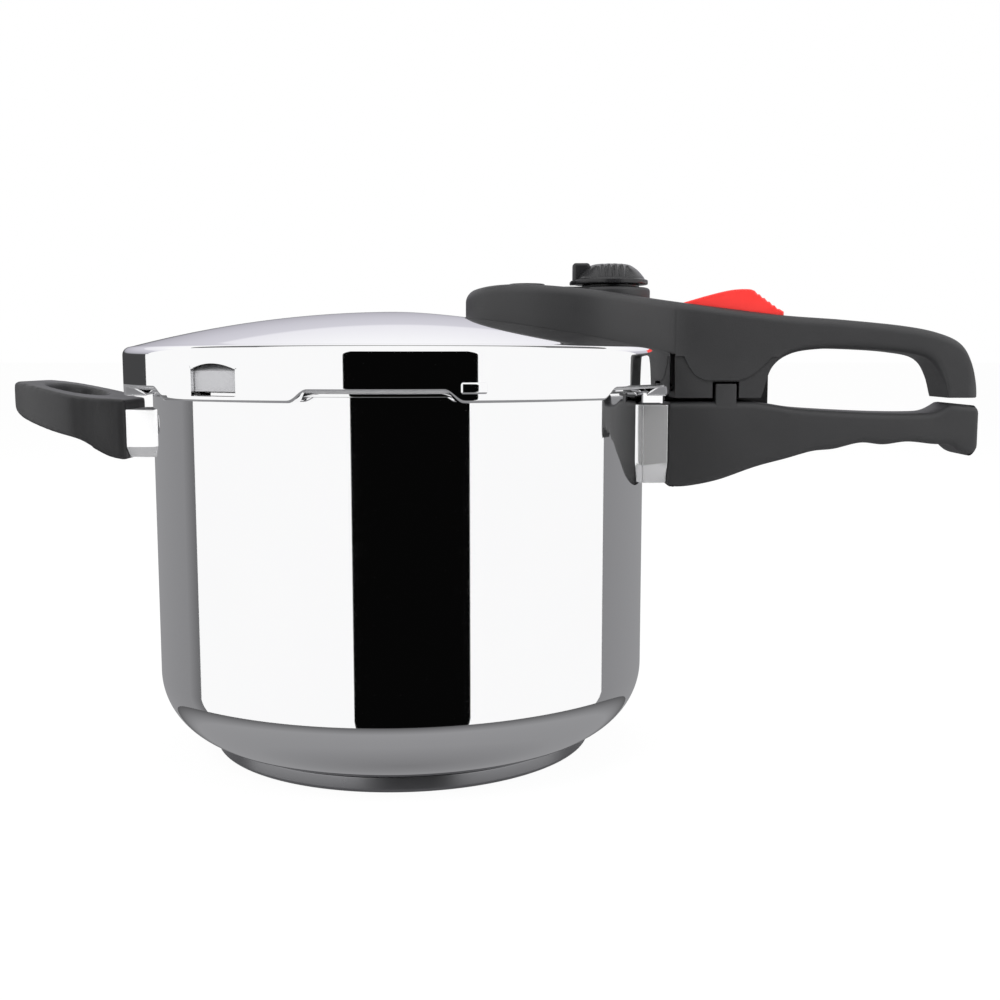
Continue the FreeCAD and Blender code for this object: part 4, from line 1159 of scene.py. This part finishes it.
class COOKER_OT_stage(bpy.types.Operator):
    """Floor, studio cards, lamps and camera"""
    bl_idname = "cooker.stage"
    bl_label = "Stage"

    def execute(self, context):
        s = context.scene.cooker_stage
        self.floor()
        self.world(context.scene, s.fill)
        self.cards(s)
        self.lamps(s)
        camera = bpy.data.objects.new("camera", bpy.data.cameras.new("camera"))
        context.scene.collection.objects.link(camera)
        camera.location = (s.camera_x, s.camera_y, s.camera_z)
        camera.rotation_euler = (s.tilt, 0, 0)
        camera.data.lens = s.lens
        camera.data.sensor_width = 36
        camera.data.clip_start = 0.01
        context.scene.camera = camera
        context.scene.view_settings.view_transform = "Standard"
        return {"FINISHED"}

    def floor(self):
        deselect()
        bpy.ops.mesh.primitive_plane_add(size=80, location=(0, 0, 0))
        floor = bpy.context.object
        floor.name = "floor"
        made = bpy.data.materials.new("Floor paper")
        made.use_nodes = True
        tree = made.node_tree
        tree.nodes.clear()
        out = tree.nodes.new("ShaderNodeOutputMaterial")
        paper = tree.nodes.new("ShaderNodeBsdfDiffuse")
        paper.inputs["Color"].default_value = (0.92, 0.92, 0.92, 1)
        shine = tree.nodes.new("ShaderNodeEmission")
        mix = tree.nodes.new("ShaderNodeMixShader")
        link(tree, maths(tree, "MULTIPLY", path_mask(tree), 0.95), mix.inputs["Fac"])
        link(tree, paper.outputs[0], mix.inputs[1])
        link(tree, shine.outputs[0], mix.inputs[2])
        link(tree, mix.outputs[0], out.inputs["Surface"])
        floor.data.materials.append(made)
        floor.visible_glossy = False

    def world(self, scene, fill):
        world = scene.world or bpy.data.worlds.new("studio")
        scene.world = world
        world.use_nodes = True
        tree = world.node_tree
        tree.nodes.clear()
        out = tree.nodes.new("ShaderNodeOutputWorld")
        light = tree.nodes.new("ShaderNodeBackground")
        light.inputs["Color"].default_value = (1, 1, 1, 1)
        seen = path_mask(tree)
        strength = maths(tree, "ADD", maths(tree, "MULTIPLY", seen, 1.0 - fill), fill)
        link(tree, strength, light.inputs["Strength"])
        link(tree, light.outputs[0], out.inputs["Surface"])

    def cards(self, s):
        grey = lambda v: (v, v, v * 1.03)
        black = glow("Card black", [(0.0, (0.002, 0.002, 0.002)), (1.0, (0.002, 0.002, 0.002))], "Z")
        side = glow("Card grey", [(0.15, grey(0.12)), (0.45, grey(0.25)), (1.5, grey(0.30))], "Y")
        band = glow("Card dark", [(0.10, grey(0.055)), (0.26, grey(0.06)), (0.30, grey(0.14))], "Z")
        back = glow("Card lavender", [(0.30, (0.30, 0.30, 0.33)), (0.38, (0.46, 0.45, 0.50)),
                                      (0.60, (0.60, 0.59, 0.65)), (0.74, (0.66, 0.65, 0.71)),
                                      (0.77, (0.84, 0.83, 0.88)), (1.1, (0.98, 0.98, 1.0))], "Z")
        under = glow("Card under", [(0.0, grey(0.20)), (0.5, grey(0.28)), (1.0, grey(0.30)),
                                    (1.5, grey(0.10))], "R")
        low = s.tent_floor
        split = 0.115
        card("card_black", s.tent, -17, 33, low, 1.3, black)
        card("card_left", s.tent, -180, -98, low, split, side)
        card("card_right", s.tent, 106, 180, low, split, side)
        card("card_band", s.tent, 138, 246, split, 0.30, band)
        card("card_back", s.tent, 112, 248, 0.30, 1.1, back)
        deselect()
        bpy.ops.mesh.primitive_circle_add(vertices=180, radius=s.tent, fill_type="NGON",
                                          location=(0, 0, low))
        disc = bpy.context.object
        disc.name = "card_under"
        bpy.ops.object.transform_apply(location=True, rotation=True, scale=True)
        disc.data.materials.append(under)
        unseen(disc)
        card("card_high", 1.0, 120, 240, 1.0, 1.7,
             glow("Card high", [(1.0, grey(0.10)), (1.7, grey(0.20))], "Z"))

    def lamps(self, s):
        for name, place, size, power in (("key", (-0.9, -1.0, 1.3), 0.9, s.key),
                                         ("side", (1.3, -0.7, 1.0), 0.8, s.key * 0.6),
                                         ("top", (0.1, 0.5, 1.6), 1.0, s.key * 0.7)):
            data = bpy.data.lights.new(name, "AREA")
            data.size = size
            data.energy = power
            lamp = bpy.data.objects.new(name, data)
            bpy.context.scene.collection.objects.link(lamp)
            lamp.location = place
            aim = Vector((0.05, 0, 0.12)) - Vector(place)
            lamp.rotation_euler = aim.to_track_quat("-Z", "Y").to_euler()
            lamp.visible_glossy = False


# ---- panel and registration -----------------------------------------------------------
MAKERS = (COOKER_OT_pot, COOKER_OT_base_disc, COOKER_OT_wall_guards, COOKER_OT_lid, COOKER_OT_seal,
          COOKER_OT_long_grips, COOKER_OT_helper_grip, COOKER_OT_selector, COOKER_OT_gauge,
          COOKER_OT_lock_slider, COOKER_OT_small_parts, COOKER_OT_stage)
GROUPS = {"cooker_pot": PotSizes, "cooker_lid": LidSizes, "cooker_finishes": Finishes,
          "cooker_stage": StageSettings}


class COOKER_PT_panel(bpy.types.Panel):
    """Lists the pieces of the cooker"""
    bl_idname = "COOKER_PT_panel"
    bl_label = "Pressure cooker"
    bl_space_type = "VIEW_3D"
    bl_region_type = "UI"
    bl_category = "Cooker"

    def draw(self, context):
        for maker in MAKERS:
            self.layout.operator(maker.bl_idname)
        for name, group in GROUPS.items():
            box = self.layout.box()
            for prop in group.__annotations__:
                box.prop(getattr(context.scene, name), prop)


def register():
    for made in (*GROUPS.values(), *MAKERS, COOKER_PT_panel):
        bpy.utils.register_class(made)
    for name, group in GROUPS.items():
        setattr(bpy.types.Scene, name, PointerProperty(type=group))


def unregister():
    for name in GROUPS:
        delattr(bpy.types.Scene, name)
    for made in reversed((*GROUPS.values(), *MAKERS, COOKER_PT_panel)):
        bpy.utils.unregister_class(made)


def main():
    register()
    make_materials(bpy.context.scene.cooker_finishes)
    for maker in MAKERS:
        getattr(bpy.ops.cooker, maker.bl_idname.split(".")[1])()


if __name__ == "__main__":
    main()
